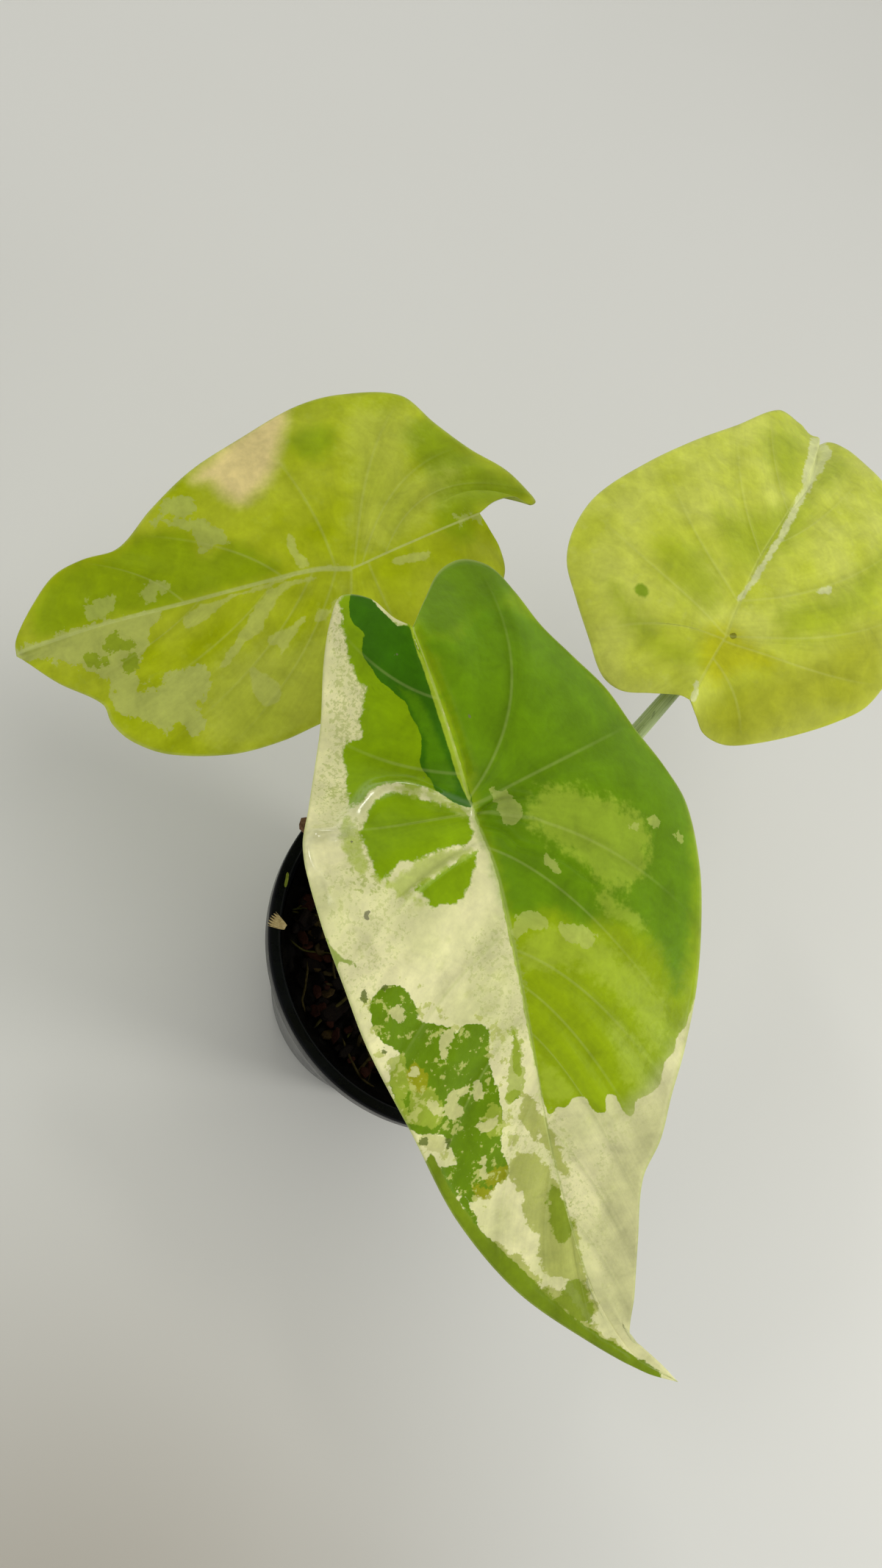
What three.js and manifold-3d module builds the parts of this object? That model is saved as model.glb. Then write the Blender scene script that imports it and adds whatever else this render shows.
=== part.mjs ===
// A variegated alocasia in a black nursery pot: three arrow-shaped leaves on slender stalks.
// Millimetres, +Z up. The origin is the centre of the pot's foot.
import * as THREE from 'three';
import { mergeVertices } from 'three/addons/utils/BufferGeometryUtils.js';
import Module from 'manifold-3d';

const wasm = await Module();
wasm.setup();

// Driving dimensions

const clearance = 0.3;

const pot = {
  height: 90,
  rimRadius: 52.5,
  footRadius: 38.5,
  footWidth: 7.5,
  footStep: 3,
  padRadius: 15,
  wall: 1.2,
  floor: 1.6,
  lipWidth: 3.4,
  lipDepth: 6,
  lipRound: 1,
  drainHoles: 8,
  drainRadius: 3.5,
  drainCircle: 24,
  sides: 56,
};

const soil = {
  level: 80.5,
  unevenness: 1.3,
  chips: 64,
  chipSize: [9, 5, 3],
  sides: 36,
  rings: 7,
  seed: 9041,
};

const rhizome = {
  centre: [1, 3],
  radius: 11,
  bottom: 58.4,
  top: 87,
  ringSpacing: 4,
  ringDepth: 0.7,
};

const blade = {
  thickness: 0.8,
  keel: 1.5,
  keelRow: 0.06,
  dimpleDepth: 1.5,
  dimpleRadius: 8,
  jointColumn: 0.6,
  columnsBetweenVeins: 4,
  rows: 8,
};

const stalk = {
  baseRadius: 4.2,
  sheathRadius: 2.9,
  topRadius: 1.7,
  sheathLength: 0.3,
  steps: 22,
  sides: 12,
};

// An outline's points are [x, y, z] from the joint with the stalk: y runs toward the tip, x to its right.
// The midrib runs from the joint to the tip, and the suture from the joint to the notch between the lobes.
// Each side starts after the tip and ends before the notch. A vein runs from the joint to its point number cross.

const frontLeaf = {
  joint: [-22, 10, 178],
  turn: -153.7,
  midrib: [
    [2, 15, -1.5], [7, 41, -9], [10.5, 70, -25], [12, 95, -37], [11, 113, -46], [9, 121.5, -49.5],
    [4, 129, -52], [-0.5, 135.5, -54],
  ],
  suture: [[-3, -19, 2], [-6, -41, 4]],
  left: {
    cross: 11,
    arch: 0.1,
    lobeBow: 0.006,
    points: [
      [2, 129, -52], [7, 120, -48], [3, 110.5, -42.5], [-1, 100, -36], [-6, 87, -27.5], [-12, 81, -22.5],
      [-18, 73.5, -19], [-25, 66.5, -17], [-34, 55.5, -14], [-43, 43, -13], [-49, 32, -12], [-53, 18.5, -10.5],
      [-52.5, 8.5, -10], [-50.5, -3, -10], [-48.5, -14, -9], [-44, -24, -7.5], [-40, -33.5, -6.5],
      [-38, -43, -6], [-35.5, -51, -6], [-30, -55, -6], [-23, -54, -5], [-14, -47.5, -0.5],
    ],
  },
  right: {
    cross: 7,
    arch: 0.05,
    lobeBow: 0.006,
    points: [
      [6, 129, -52], [16, 115, -47.5], [28, 95, -39.5], [35.5, 73.5, -29], [39, 53, -16], [42, 33, -5],
      [42, 21, 0], [41, 7, 3], [37, -7, 0], [30, -16, -6], [23, -25, -10], [17.5, -33, -10.5],
      [11, -45, -8.5], [6, -52.5, -6], [2, -56, -4], [-2.5, -52, -1], [-4, -45, 2],
    ],
  },
  veinsAhead: 6,
  veinsBehind: 4,
  quilting: 0.7,
  stalk: [[-4, -1], [-6, 6, 110], [-14, 10, 140], [-21, 10.5, 163]],
};

const leftLeaf = {
  joint: [-39.3, 83.2, 145],
  turn: 100.8,
  midrib: [[1, 8, -2], [1, 23, -8], [1, 39, -15], [1.5, 60, -25], [1, 79, -35], [4.5, 81.5, -46]],
  suture: [[4, -12.5, 0], [8.5, -25.5, 0], [12.5, -37.5, 0]],
  left: {
    cross: 8,
    arch: 0.06,
    lobeBow: 0.006,
    points: [
      [-2, 79, -37], [-9.5, 72.5, -34], [-17.5, 63, -31], [-23.5, 61.5, -30], [-29.5, 57.5, -28],
      [-35, 49.5, -25], [-39, 35, -19], [-38.5, 23, -15], [-36, 12.5, -12], [-33.5, 1, -11], [-28, -12, -10],
      [-21, -25.5, -9], [-12, -37, -8], [-2, -43.5, -7], [5, -43.5, -6], [9, -40, -2],
    ],
  },
  right: {
    cross: 9,
    arch: 0.08,
    lobeBow: 0.013,
    points: [
      [5, 81, -36], [12, 76, -32], [17.5, 70, -27.5], [19, 63, -23], [18.5, 54, -17], [26, 45, -12],
      [34, 34, -8], [40, 21, -4], [47.5, 5.5, -2], [51, -7.5, -2], [51, -25, -3], [43, -33.5, -4.5],
      [35.5, -42.5, -6], [29, -52, -7], [21.5, -58, -8], [19.5, -59, -8.5], [18.5, -57, -8], [20, -52, -6],
      [17.5, -44.5, -3],
    ],
  },
  veinsAhead: 5,
  veinsBehind: 4,
  quilting: 0.6,
  stalk: [[-1, 8.5], [-10, 30, 112], [-20, 54, 130], [-33, 77, 137.5]],
};

const rightLeaf = {
  joint: [52.6, 63.4, 165],
  turn: -32.9,
  midrib: [[-1, 6, 0], [-2, 25, -1], [-0.5, 44, -4], [1, 64.5, -8], [0.5, 86, -14], [0.3, 92, -19], [1, 98, -42]],
  suture: [[-0.5, -10.5, -1], [0, -21, -3]],
  left: {
    cross: 7,
    arch: 0.07,
    lobeBow: 0.006,
    points: [
      [-2.5, 97.5, -25], [-8, 91, -17], [-15, 86, -13], [-24, 67, -8.5], [-32, 51.5, -6], [-40, 34.5, -5],
      [-46.5, 16.5, -5], [-47, 3.5, -5], [-44, -5.5, -6], [-37, -12.5, -7], [-29, -19, -8.5], [-21, -25, -10],
      [-15, -25.5, -10], [-8.5, -22.5, -8], [-2.5, -20.5, -4.5],
    ],
  },
  right: {
    cross: 8,
    arch: 0.07,
    lobeBow: 0.006,
    points: [
      [4.5, 98, -24], [9.5, 95, -18.5], [17.5, 91.5, -16], [23, 89, -15], [32, 82, -13], [39, 69.5, -11],
      [44, 54.5, -9], [46.5, 40, -8], [46.5, 26, -8], [44, 12.5, -8], [38.5, 3, -8], [29.5, -8.5, -8],
      [20, -18.5, -8], [14.5, -22, -9.5], [8.5, -23, -9], [4, -21.5, -6.5],
    ],
  },
  veinsAhead: 5,
  veinsBehind: 3,
  quilting: 0.6,
  stalk: [[7, 2], [14, 18, 120], [37, 46.5, 150], [48, 59, 159]],
};

const husk = { length: 5, width: 4.4, thickness: 0.8, teeth: 6, toothDepth: 1, at: [-50, 3.6], turn: 58 };
const bark = { length: 7.5, width: 5, thickness: 1.8, at: [-40.8, 31], turn: 4 };

// Colours and finishes

function finish(color, roughness) {
  return new THREE.MeshStandardMaterial({ color, roughness, metalness: 0 });
}

const finishes = {
  pot: finish(0x0b0c0d, 0.3),
  soil: finish(0x2a1a10, 0.95),
  rhizome: finish(0x6a5436, 0.8),
  stalk: finish(0x93a55a, 0.45),
  blade: finish(0x8aa82a, 0.35),
  husk: finish(0xb59f62, 0.8),
  bark: finish(0x7a5a3a, 0.9),
};

// Small helpers

function toSolid(geometry) {
  const bare = new THREE.BufferGeometry();
  bare.setAttribute('position', geometry.getAttribute('position'));
  bare.setIndex(geometry.index);
  const merged = mergeVertices(bare, 1e-4);
  const triangles = [];
  for (let i = 0; i < merged.index.count; i += 3) {
    const corners = [merged.index.getX(i), merged.index.getX(i + 1), merged.index.getX(i + 2)];
    if (new Set(corners).size === 3) triangles.push(...corners);
  }
  return new wasm.Manifold(new wasm.Mesh({
    numProp: 3,
    vertProperties: Float32Array.from(merged.getAttribute('position').array),
    triVerts: Uint32Array.from(triangles),
  }));
}

function toGeometry(solid) {
  const mesh = solid.getMesh();
  const geometry = new THREE.BufferGeometry();
  geometry.setAttribute('position', new THREE.BufferAttribute(mesh.vertProperties, 3));
  geometry.setIndex(new THREE.BufferAttribute(mesh.triVerts, 1));
  geometry.computeVertexNormals();
  return geometry;
}

function largestPiece(solid) {
  return solid.decompose().sort((a, b) => b.volume() - a.volume())[0];
}

// A surface of revolution about Z from [radius, height] points that start and end on the axis, going up outside.
function turned(profile, sides) {
  const points = profile.map(([radius, height]) => new THREE.Vector2(radius, height));
  return new THREE.LatheGeometry(points, sides).rotateX(Math.PI / 2);
}

function upright(radius, bottom, top, sides) {
  const cylinder = new THREE.CylinderGeometry(radius, radius, top - bottom, sides).rotateX(Math.PI / 2);
  return cylinder.translate(0, 0, (bottom + top) / 2);
}

function randomFrom(seed) {
  let state = seed;
  return () => {
    state = (state * 16807) % 2147483647;
    return state / 2147483647;
  };
}

// A smooth curve through points, read at a fraction of the way from the first to the last.
function curveThrough(points) {
  const at = [0];
  for (let i = 1; i < points.length; i += 1) at.push(at[i - 1] + points[i].distanceTo(points[i - 1]));
  const slopes = points.map((point, i) => {
    const before = Math.max(i - 1, 0);
    const after = Math.min(i + 1, points.length - 1);
    return points[after].clone().sub(points[before]).divideScalar(at[after] - at[before]);
  });
  const length = at[at.length - 1];
  const read = (fraction) => {
    const s = THREE.MathUtils.clamp(fraction, 0, 1) * length;
    let i = 0;
    while (i < points.length - 2 && s > at[i + 1]) i += 1;
    const h = at[i + 1] - at[i];
    const t = (s - at[i]) / h;
    return new THREE.Vector3()
      .addScaledVector(points[i], (1 + 2 * t) * (1 - t) ** 2)
      .addScaledVector(slopes[i], h * t * (1 - t) ** 2)
      .addScaledVector(points[i + 1], t * t * (3 - 2 * t))
      .addScaledVector(slopes[i + 1], h * t * t * (t - 1));
  };
  return { read, fractionAt: (index) => at[index] / length };
}

const toVector = (point) => new THREE.Vector3(...point);

// The pot and what it holds. Its drain holes are in a raised ring between the foot and a centre pad.

const wallOutside = (height) => {
  const top = pot.rimRadius - pot.lipWidth + pot.wall;
  return THREE.MathUtils.mapLinear(height, 0, pot.height, pot.footRadius, top);
};
const wallInside = (height) => wallOutside(height) - pot.wall;
const floorTop = pot.footStep + pot.floor;

function potGeometry() {
  const { height, rimRadius, footRadius, footWidth, footStep, padRadius, lipDepth, lipRound, sides } = pot;
  const footInside = footRadius - footWidth;
  const lipBottom = height - lipDepth;
  const profile = [
    [0, 0],
    [padRadius, 0],
    [padRadius + footStep / 3, footStep],
    [footInside - footStep / 3, footStep],
    [footInside, 0],
    [footRadius, 0],
    [wallOutside(lipBottom), lipBottom],
    [rimRadius, lipBottom],
    [rimRadius, height - lipRound],
    [rimRadius - lipRound * 0.3, height - lipRound * 0.3],
    [rimRadius - lipRound, height],
    [wallInside(height), height],
    [wallInside(floorTop), floorTop],
    [0, floorTop],
  ];
  let solid = toSolid(turned(profile, sides));
  for (let i = 0; i < pot.drainHoles; i += 1) {
    const angle = (2 * Math.PI * i) / pot.drainHoles;
    const hole = upright(pot.drainRadius, -1, floorTop + 1, 12);
    hole.translate(pot.drainCircle * Math.cos(angle), pot.drainCircle * Math.sin(angle), 0);
    solid = solid.subtract(toSolid(hole));
  }
  return toGeometry(solid);
}

function soilHeight(x, y) {
  const waves = Math.sin(0.23 * x + 1.1) * Math.cos(0.19 * y) + 0.6 * Math.sin(0.41 * y - 0.33 * x);
  return soil.level + soil.unevenness * waves * 0.6;
}

// The packed mix: a cone that fills the pot, with an uneven top.
function soilBody() {
  const bottom = floorTop + clearance;
  const edge = wallInside(soil.level) - clearance;
  const positions = [];
  const triangles = [];
  for (let ring = 0; ring <= soil.rings; ring += 1) {
    for (let side = 0; side < soil.sides; side += 1) {
      const angle = (2 * Math.PI * side) / soil.sides;
      const radius = (edge * ring) / soil.rings;
      const x = radius * Math.cos(angle);
      const y = radius * Math.sin(angle);
      positions.push(x, y, soilHeight(x, y));
    }
  }
  const foot = wallInside(bottom) - clearance;
  for (const radius of [foot, 0]) {
    for (let side = 0; side < soil.sides; side += 1) {
      const angle = (2 * Math.PI * side) / soil.sides;
      positions.push(radius * Math.cos(angle), radius * Math.sin(angle), bottom);
    }
  }
  for (let ring = 0; ring < soil.rings + 2; ring += 1) {
    for (let side = 0; side < soil.sides; side += 1) {
      const next = (side + 1) % soil.sides;
      const [a, b] = [ring * soil.sides + side, ring * soil.sides + next];
      const [c, d] = [a + soil.sides, b + soil.sides];
      triangles.push(a, c, d, a, d, b);
    }
  }
  const geometry = new THREE.BufferGeometry();
  geometry.setAttribute('position', new THREE.Float32BufferAttribute(positions, 3));
  geometry.setIndex(triangles);
  return toSolid(geometry);
}

// Bark chips lie at random on the mix, each a box with its corners pulled about.
function chipSolids() {
  const random = randomFrom(soil.seed);
  const reach = wallInside(soil.level) - 2;
  const solids = [];
  for (let i = 0; i < soil.chips; i += 1) {
    const scale = 0.55 + 0.75 * random();
    const chip = new THREE.BoxGeometry(...soil.chipSize.map((size) => size * scale));
    const position = chip.getAttribute('position');
    const pulls = Array.from({ length: 8 }, () => 0.6 + 0.5 * random());
    for (let k = 0; k < position.count; k += 1) {
      const corner = (position.getX(k) > 0) + 2 * (position.getY(k) > 0) + 4 * (position.getZ(k) > 0);
      position.setXYZ(k, position.getX(k) * pulls[corner], position.getY(k) * pulls[corner], position.getZ(k));
    }
    const radius = reach * Math.sqrt(random());
    const angle = 2 * Math.PI * random();
    const x = radius * Math.cos(angle);
    const y = radius * Math.sin(angle);
    chip.rotateX(0.7 * (random() - 0.5)).rotateY(0.7 * (random() - 0.5)).rotateZ(2 * Math.PI * random());
    chip.translate(x, y, soilHeight(x, y) + 0.4 * scale);
    solids.push(toSolid(chip));
  }
  return solids;
}

function soilGeometry() {
  const bottom = floorTop;
  const cavity = [[0, bottom], [wallInside(bottom) - clearance, bottom]];
  cavity.push([wallInside(pot.height) - clearance, pot.height], [0, pot.height]);
  const hole = upright(rhizome.radius + clearance, rhizome.bottom - clearance, pot.height + 1, 24);
  hole.translate(...rhizome.centre, 0);
  const chipped = wasm.Manifold.union([soilBody(), ...chipSolids()]);
  const fitted = chipped.intersect(toSolid(turned(cavity, pot.sides))).subtract(toSolid(hole));
  return toGeometry(largestPiece(fitted));
}

// The plant

// The thick ringed stem at the soil, which the stalks rise from.
function rhizomeGeometry() {
  const { radius, bottom, top, ringSpacing, ringDepth } = rhizome;
  const profile = [[0, bottom], [radius * 0.6, bottom]];
  for (let height = bottom + ringSpacing; height < top - ringSpacing; height += ringSpacing) {
    profile.push([radius - ringDepth, height], [radius, height + ringSpacing * 0.6]);
  }
  profile.push([radius, top - 0.8], [radius - 0.8, top], [0, top]);
  return toGeometry(toSolid(turned(profile, 20)));
}

// Closed rings of equal size, joined in order and closed at both ends.
function loft(rings) {
  const count = rings[0].length;
  const positions = rings.flat().flatMap((point) => point.toArray());
  const triangles = [];
  for (let i = 0; i < rings.length - 1; i += 1) {
    for (let k = 0; k < count; k += 1) {
      const next = (k + 1) % count;
      const [a, b] = [i * count + k, i * count + next];
      triangles.push(a, b, b + count, a, b + count, a + count);
    }
  }
  const last = (rings.length - 1) * count;
  for (let k = 1; k < count - 1; k += 1) {
    triangles.push(0, k + 1, k);
    triangles.push(last, last + k, last + k + 1);
  }
  const geometry = new THREE.BufferGeometry();
  geometry.setAttribute('position', new THREE.Float32BufferAttribute(positions, 3));
  geometry.setIndex(triangles);
  geometry.computeVertexNormals();
  return geometry;
}

// A stalk swells to a sheath at its foot. Its two ends are level, to stand on the stem and meet the blade.
function stalkGeometry(leaf) {
  const [foot, ...middle] = leaf.stalk;
  const start = toVector([...foot, rhizome.top + clearance]);
  const underside = blade.dimpleDepth + blade.thickness / 2 + blade.keel + clearance;
  const end = toVector(leaf.joint).setZ(leaf.joint[2] - underside);
  const path = curveThrough([start, ...middle.map(toVector), end]);
  const across = end.clone().sub(start).setZ(0).normalize().applyAxisAngle(new THREE.Vector3(0, 0, 1), Math.PI / 2);
  const rings = [];
  for (let i = 0; i <= stalk.steps; i += 1) {
    const u = i / stalk.steps;
    const centre = path.read(u);
    const isEnd = i === 0 || i === stalk.steps;
    const along = isEnd ? new THREE.Vector3(0, 0, 1) : path.read(u + 0.01).sub(path.read(u - 0.01)).normalize();
    const outward = new THREE.Vector3().crossVectors(along, across).normalize();
    const side = new THREE.Vector3().crossVectors(outward, along);
    const radius = u < stalk.sheathLength
      ? THREE.MathUtils.mapLinear(u, 0, stalk.sheathLength, stalk.baseRadius, stalk.sheathRadius)
      : THREE.MathUtils.mapLinear(u, stalk.sheathLength, 1, stalk.sheathRadius, stalk.topRadius);
    rings.push(Array.from({ length: stalk.sides }, (_, k) => {
      const angle = (2 * Math.PI * k) / stalk.sides;
      return centre.clone()
        .addScaledVector(outward, radius * Math.cos(angle))
        .addScaledVector(side, -radius * Math.sin(angle));
    }));
  }
  return loft(rings);
}

// The blade's middle surface. Column 0 is the tip, jointColumn the joint, and 1 the notch.
// Step 0 is the midrib or suture, and step 1 the edge: between them each column follows a vein's sweep.
// Rows are closer together by the midrib where the blade is wide.
function bladeSurface(leaf) {
  const joint = new THREE.Vector3();
  const midrib = curveThrough([joint, ...leaf.midrib.map(toVector)]);
  const suture = curveThrough([joint, ...leaf.suture.map(toVector)]);
  const tip = midrib.read(1);
  const notch = suture.read(1);
  const edges = {};
  for (const side of ['left', 'right']) {
    const curve = curveThrough([tip, ...leaf[side].points.map(toVector), notch]);
    const { cross, arch, lobeBow } = leaf[side];
    edges[side] = { ...curve, cross: curve.fractionAt(cross + 1), arch, lobeBow };
  }
  return (side, column, step) => {
    const ahead = column <= blade.jointColumn;
    const part = ahead ? column / blade.jointColumn : (column - blade.jointColumn) / (1 - blade.jointColumn);
    const inner = ahead ? midrib.read((1 - part) ** 1.3) : suture.read(part ** 1.6);
    const edge = edges[side];
    const outer = edge.read(ahead ? edge.cross * part : THREE.MathUtils.lerp(edge.cross, 1, part ** 0.8));
    const reach = outer.clone().sub(inner);
    const width = reach.length();
    const row = step ** (1 + 0.5 * Math.min(1, width / 20));
    const push = ahead ? 0 : edge.lobeBow * (width * part) ** 2 * (side === 'left' ? -1 : 1);
    const rise = 0.5 * reach.z + edge.arch * width;
    const bend = new THREE.Vector3(0.62 * reach.x + push, 0.3 * reach.y, rise).add(inner);
    const point = inner.clone().multiplyScalar((1 - row) ** 2)
      .addScaledVector(bend, 2 * row * (1 - row))
      .addScaledVector(outer, row * row);
    const veins = ahead ? leaf.veinsAhead : leaf.veinsBehind;
    const swell = Math.sin(Math.PI * veins * part) ** 2 * Math.sin(Math.PI * row);
    const fromJoint = Math.hypot(point.x, point.y) / blade.dimpleRadius;
    point.z += leaf.quilting * swell * Math.min(1, width / 20) - blade.dimpleDepth * Math.exp(-fromJoint * fromJoint);
    return { point, row };
  };
}

// A blade is its middle surface made thick. The tip and the notch are single points.
function bladeGeometry(leaf) {
  const surface = bladeSurface(leaf);
  const ahead = leaf.veinsAhead * blade.columnsBetweenVeins;
  const behind = leaf.veinsBehind * blade.columnsBetweenVeins;
  const columns = ahead + behind;
  const lines = 2 * blade.rows + 1;
  const points = [surface('left', 0, 0).point];
  const keels = [0];
  for (let i = 1; i < columns; i += 1) {
    const column = i <= ahead
      ? (blade.jointColumn * i) / ahead
      : THREE.MathUtils.lerp(blade.jointColumn, 1, (i - ahead) / behind);
    const fade = Math.min(1, (1.5 * i) / ahead, (columns - i) / 4);
    for (let line = 0; line < lines; line += 1) {
      const side = line < blade.rows ? 'left' : 'right';
      const { point, row } = surface(side, column, Math.abs(line - blade.rows) / blade.rows);
      points.push(point);
      keels.push(blade.keel * fade * Math.max(0, 1 - row / blade.keelRow));
    }
  }
  points.push(surface('left', 1, 0).point);
  keels.push(0);
  const index = (i, line) => {
    if (i === 0) return 0;
    return i === columns ? points.length - 1 : 1 + (i - 1) * lines + line;
  };
  const triangles = [];
  for (let i = 0; i < columns; i += 1) {
    for (let line = 0; line < lines - 1; line += 1) {
      const [a, b] = [index(i, line), index(i, line + 1)];
      const [c, d] = [index(i + 1, line), index(i + 1, line + 1)];
      if (a !== b) triangles.push(a, c, b);
      if (c !== d) triangles.push(b, c, d);
    }
  }
  return thicken(points, triangles, keels);
}

// Copies a sheet up and down along its normals and joins the copies at its edge.
function thicken(points, triangles, keels) {
  const sheet = new THREE.BufferGeometry().setFromPoints(points);
  sheet.setIndex(triangles);
  sheet.computeVertexNormals();
  const normals = sheet.getAttribute('normal');
  const top = [];
  const bottom = [];
  points.forEach((point, i) => {
    const normal = new THREE.Vector3().fromBufferAttribute(normals, i);
    top.push(point.clone().addScaledVector(normal, blade.thickness / 2));
    bottom.push(point.clone().addScaledVector(normal, -blade.thickness / 2 - keels[i]));
  });
  const under = points.length;
  const faces = [];
  const sides = new Map();
  for (let i = 0; i < triangles.length; i += 3) {
    const [a, b, c] = triangles.slice(i, i + 3);
    faces.push(a, b, c, under + a, under + c, under + b);
    for (const [from, to] of [[a, b], [b, c], [c, a]]) {
      if (!sides.delete(`${to} ${from}`)) sides.set(`${from} ${to}`, [from, to]);
    }
  }
  for (const [from, to] of sides.values()) {
    faces.push(to, from, under + from, to, under + from, under + to);
  }
  const geometry = new THREE.BufferGeometry().setFromPoints([...top, ...bottom]);
  geometry.setIndex(faces);
  geometry.computeVertexNormals();
  return geometry;
}

// Scraps on the pot's lip

// A dry husk, a little fan with a toothed outer edge.
function huskGeometry() {
  const { length, width, thickness, teeth, toothDepth } = husk;
  const outline = new THREE.Shape().moveTo(0, -length / 2);
  for (let i = 0; i <= 2 * teeth; i += 1) {
    const across = THREE.MathUtils.lerp(width / 2, -width / 2, i / (2 * teeth));
    const bow = length / 2 - 1.2 * (across / width) ** 2;
    outline.lineTo(across, bow - (i % 2 === 0 ? toothDepth : 0));
  }
  return new THREE.ExtrudeGeometry(outline, { depth: thickness, bevelEnabled: false });
}

// A bark chip with broken ends.
function barkGeometry() {
  const { length, width, thickness } = bark;
  const outline = new THREE.Shape()
    .moveTo(-0.5 * width, -0.4 * length)
    .lineTo(-0.1 * width, -0.5 * length)
    .lineTo(0.35 * width, -0.42 * length)
    .lineTo(0.5 * width, 0.1 * length)
    .lineTo(0.3 * width, 0.38 * length)
    .lineTo(0.05 * width, 0.34 * length)
    .lineTo(-0.2 * width, 0.5 * length)
    .lineTo(-0.42 * width, 0.2 * length);
  return new THREE.ExtrudeGeometry(outline, { depth: thickness, bevelEnabled: false });
}

// Assembly

const plant = new THREE.Group();

function add(name, geometry, material, place = {}) {
  const mesh = new THREE.Mesh(geometry, material);
  mesh.name = name;
  mesh.position.set(...(place.at ?? [0, 0, 0]));
  mesh.rotation.z = THREE.MathUtils.degToRad(place.turn ?? 0);
  plant.add(mesh);
}

add('pot', potGeometry(), finishes.pot);
add('potting_mix', soilGeometry(), finishes.soil);
add('rhizome', rhizomeGeometry(), finishes.rhizome, { at: [...rhizome.centre, 0] });
for (const [name, leaf] of Object.entries({ front: frontLeaf, left: leftLeaf, right: rightLeaf })) {
  add(`stalk_${name}`, stalkGeometry(leaf), finishes.stalk);
  add(`blade_${name}`, bladeGeometry(leaf), finishes.blade, { at: leaf.joint, turn: leaf.turn });
}
const onLip = pot.height + clearance;
add('husk', huskGeometry(), finishes.husk, { at: [...husk.at, onLip], turn: husk.turn });
add('bark_chip', barkGeometry(), finishes.bark, { at: [...bark.at, onLip], turn: bark.turn });

export default plant;
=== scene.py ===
# %% [markdown]
# # A variegated alocasia in its nursery pot
#
# The plant has three arrow-shaped leaves on slender stalks, and each leaf is painted by nature in cream,
# lime and deep green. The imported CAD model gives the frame: where each piece is, and how large. This scene
# builds every visible surface again with more detail, in the same place, and gives it its finish.

import math
import random

import bpy
import numpy as np
from mathutils import Matrix, Vector


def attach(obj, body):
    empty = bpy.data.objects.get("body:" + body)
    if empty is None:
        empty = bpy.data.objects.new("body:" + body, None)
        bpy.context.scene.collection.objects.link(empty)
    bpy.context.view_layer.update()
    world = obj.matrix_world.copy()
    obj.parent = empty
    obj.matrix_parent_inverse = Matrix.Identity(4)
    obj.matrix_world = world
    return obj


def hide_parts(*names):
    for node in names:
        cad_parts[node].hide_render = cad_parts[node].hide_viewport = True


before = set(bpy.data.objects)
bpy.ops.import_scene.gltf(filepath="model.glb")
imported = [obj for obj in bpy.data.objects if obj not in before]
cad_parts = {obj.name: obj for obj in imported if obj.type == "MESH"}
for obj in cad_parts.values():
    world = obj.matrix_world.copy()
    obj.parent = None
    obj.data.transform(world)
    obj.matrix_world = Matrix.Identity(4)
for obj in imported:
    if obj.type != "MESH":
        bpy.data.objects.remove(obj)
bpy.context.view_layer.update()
MM = 0.001
print("the CAD nodes:", sorted(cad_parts))

# %% [markdown]
# ## The camera
#
# The camera comes first, because the leaves' markings were traced in the photograph. Its place and turn were
# solved from the ellipse of the pot's rim. Each marking's outline is a list of pixels, and a point of a leaf
# carries its distance to that outline, so that the marking stays on the leaf from every side.

# %% Place the camera
PHOTO_WIDTH, PHOTO_HEIGHT = 1200, 2133
LENS = 27.0
SENSOR = 36.0
CAMERA_PLACE = Vector((-0.09773, -0.06033, 0.40252))
CAMERA_RIGHT = Vector((0.9594, -0.0448, 0.2786)).normalized()
CAMERA_BACK = Vector((-0.2786, -0.3074, 0.9099)).normalized()
CAMERA_UP = CAMERA_BACK.cross(CAMERA_RIGHT).normalized()

camera = bpy.data.objects.new("camera", bpy.data.cameras.new("camera"))
bpy.context.scene.collection.objects.link(camera)
camera.data.lens = LENS
camera.data.sensor_fit = "VERTICAL"
camera.data.sensor_height = SENSOR
camera.data.clip_start = 0.01
turn = Matrix((CAMERA_RIGHT, CAMERA_UP, CAMERA_BACK)).transposed()
camera.matrix_world = Matrix.Translation(CAMERA_PLACE) @ turn.to_4x4()
bpy.context.scene.camera = camera
print("the camera stands at", tuple(CAMERA_PLACE))


def photo_pixels(points):
    """The pixel of the photograph at which each point of an array, in millimetres, is seen."""
    seen = (points * MM - np.array(CAMERA_PLACE)) @ np.array((CAMERA_RIGHT, CAMERA_UP, -CAMERA_BACK)).T
    scale = LENS / SENSOR * PHOTO_HEIGHT / seen[..., 2]
    x = PHOTO_WIDTH / 2 + scale * seen[..., 0]
    y = PHOTO_HEIGHT / 2 - scale * seen[..., 1]
    return np.stack([x, y], axis=-1)


# %% [markdown]
# ## Helpers for meshes and materials
#
# A material here is a small tree of nodes. One function adds a node with its settings and its links, and one
# turns the sRGB hex code of a colour into the linear numbers that the renderer wants. Most pieces are tubes,
# or sheets with two faces, so a few more functions give the curves, the rings and the faces of those.

# %% Helpers for materials
def linear(code):
    """The linear colour of an sRGB hex code such as #8FA32C, by the curve of the sRGB standard."""
    parts = [int(code[i:i + 2], 16) / 255 for i in (1, 3, 5)]
    return [p / 12.92 if p <= 0.04045 else ((p + 0.055) / 1.055) ** 2.4 for p in parts] + [1.0]


def node(tree, kind, inputs=None, **settings):
    """Adds a node. Each input is a value, or another node's output that it is linked to."""
    added = tree.nodes.new(kind)
    for name, value in settings.items():
        setattr(added, name, value)
    for name, value in (inputs or {}).items():
        if isinstance(value, bpy.types.NodeSocket):
            tree.links.new(value, added.inputs[name])
        else:
            added.inputs[name].default_value = value
    return added


def new_material(name):
    """An empty material and its tree."""
    material = bpy.data.materials.new(name)
    material.use_nodes = True
    material.node_tree.nodes.clear()
    return material, material.node_tree


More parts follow.
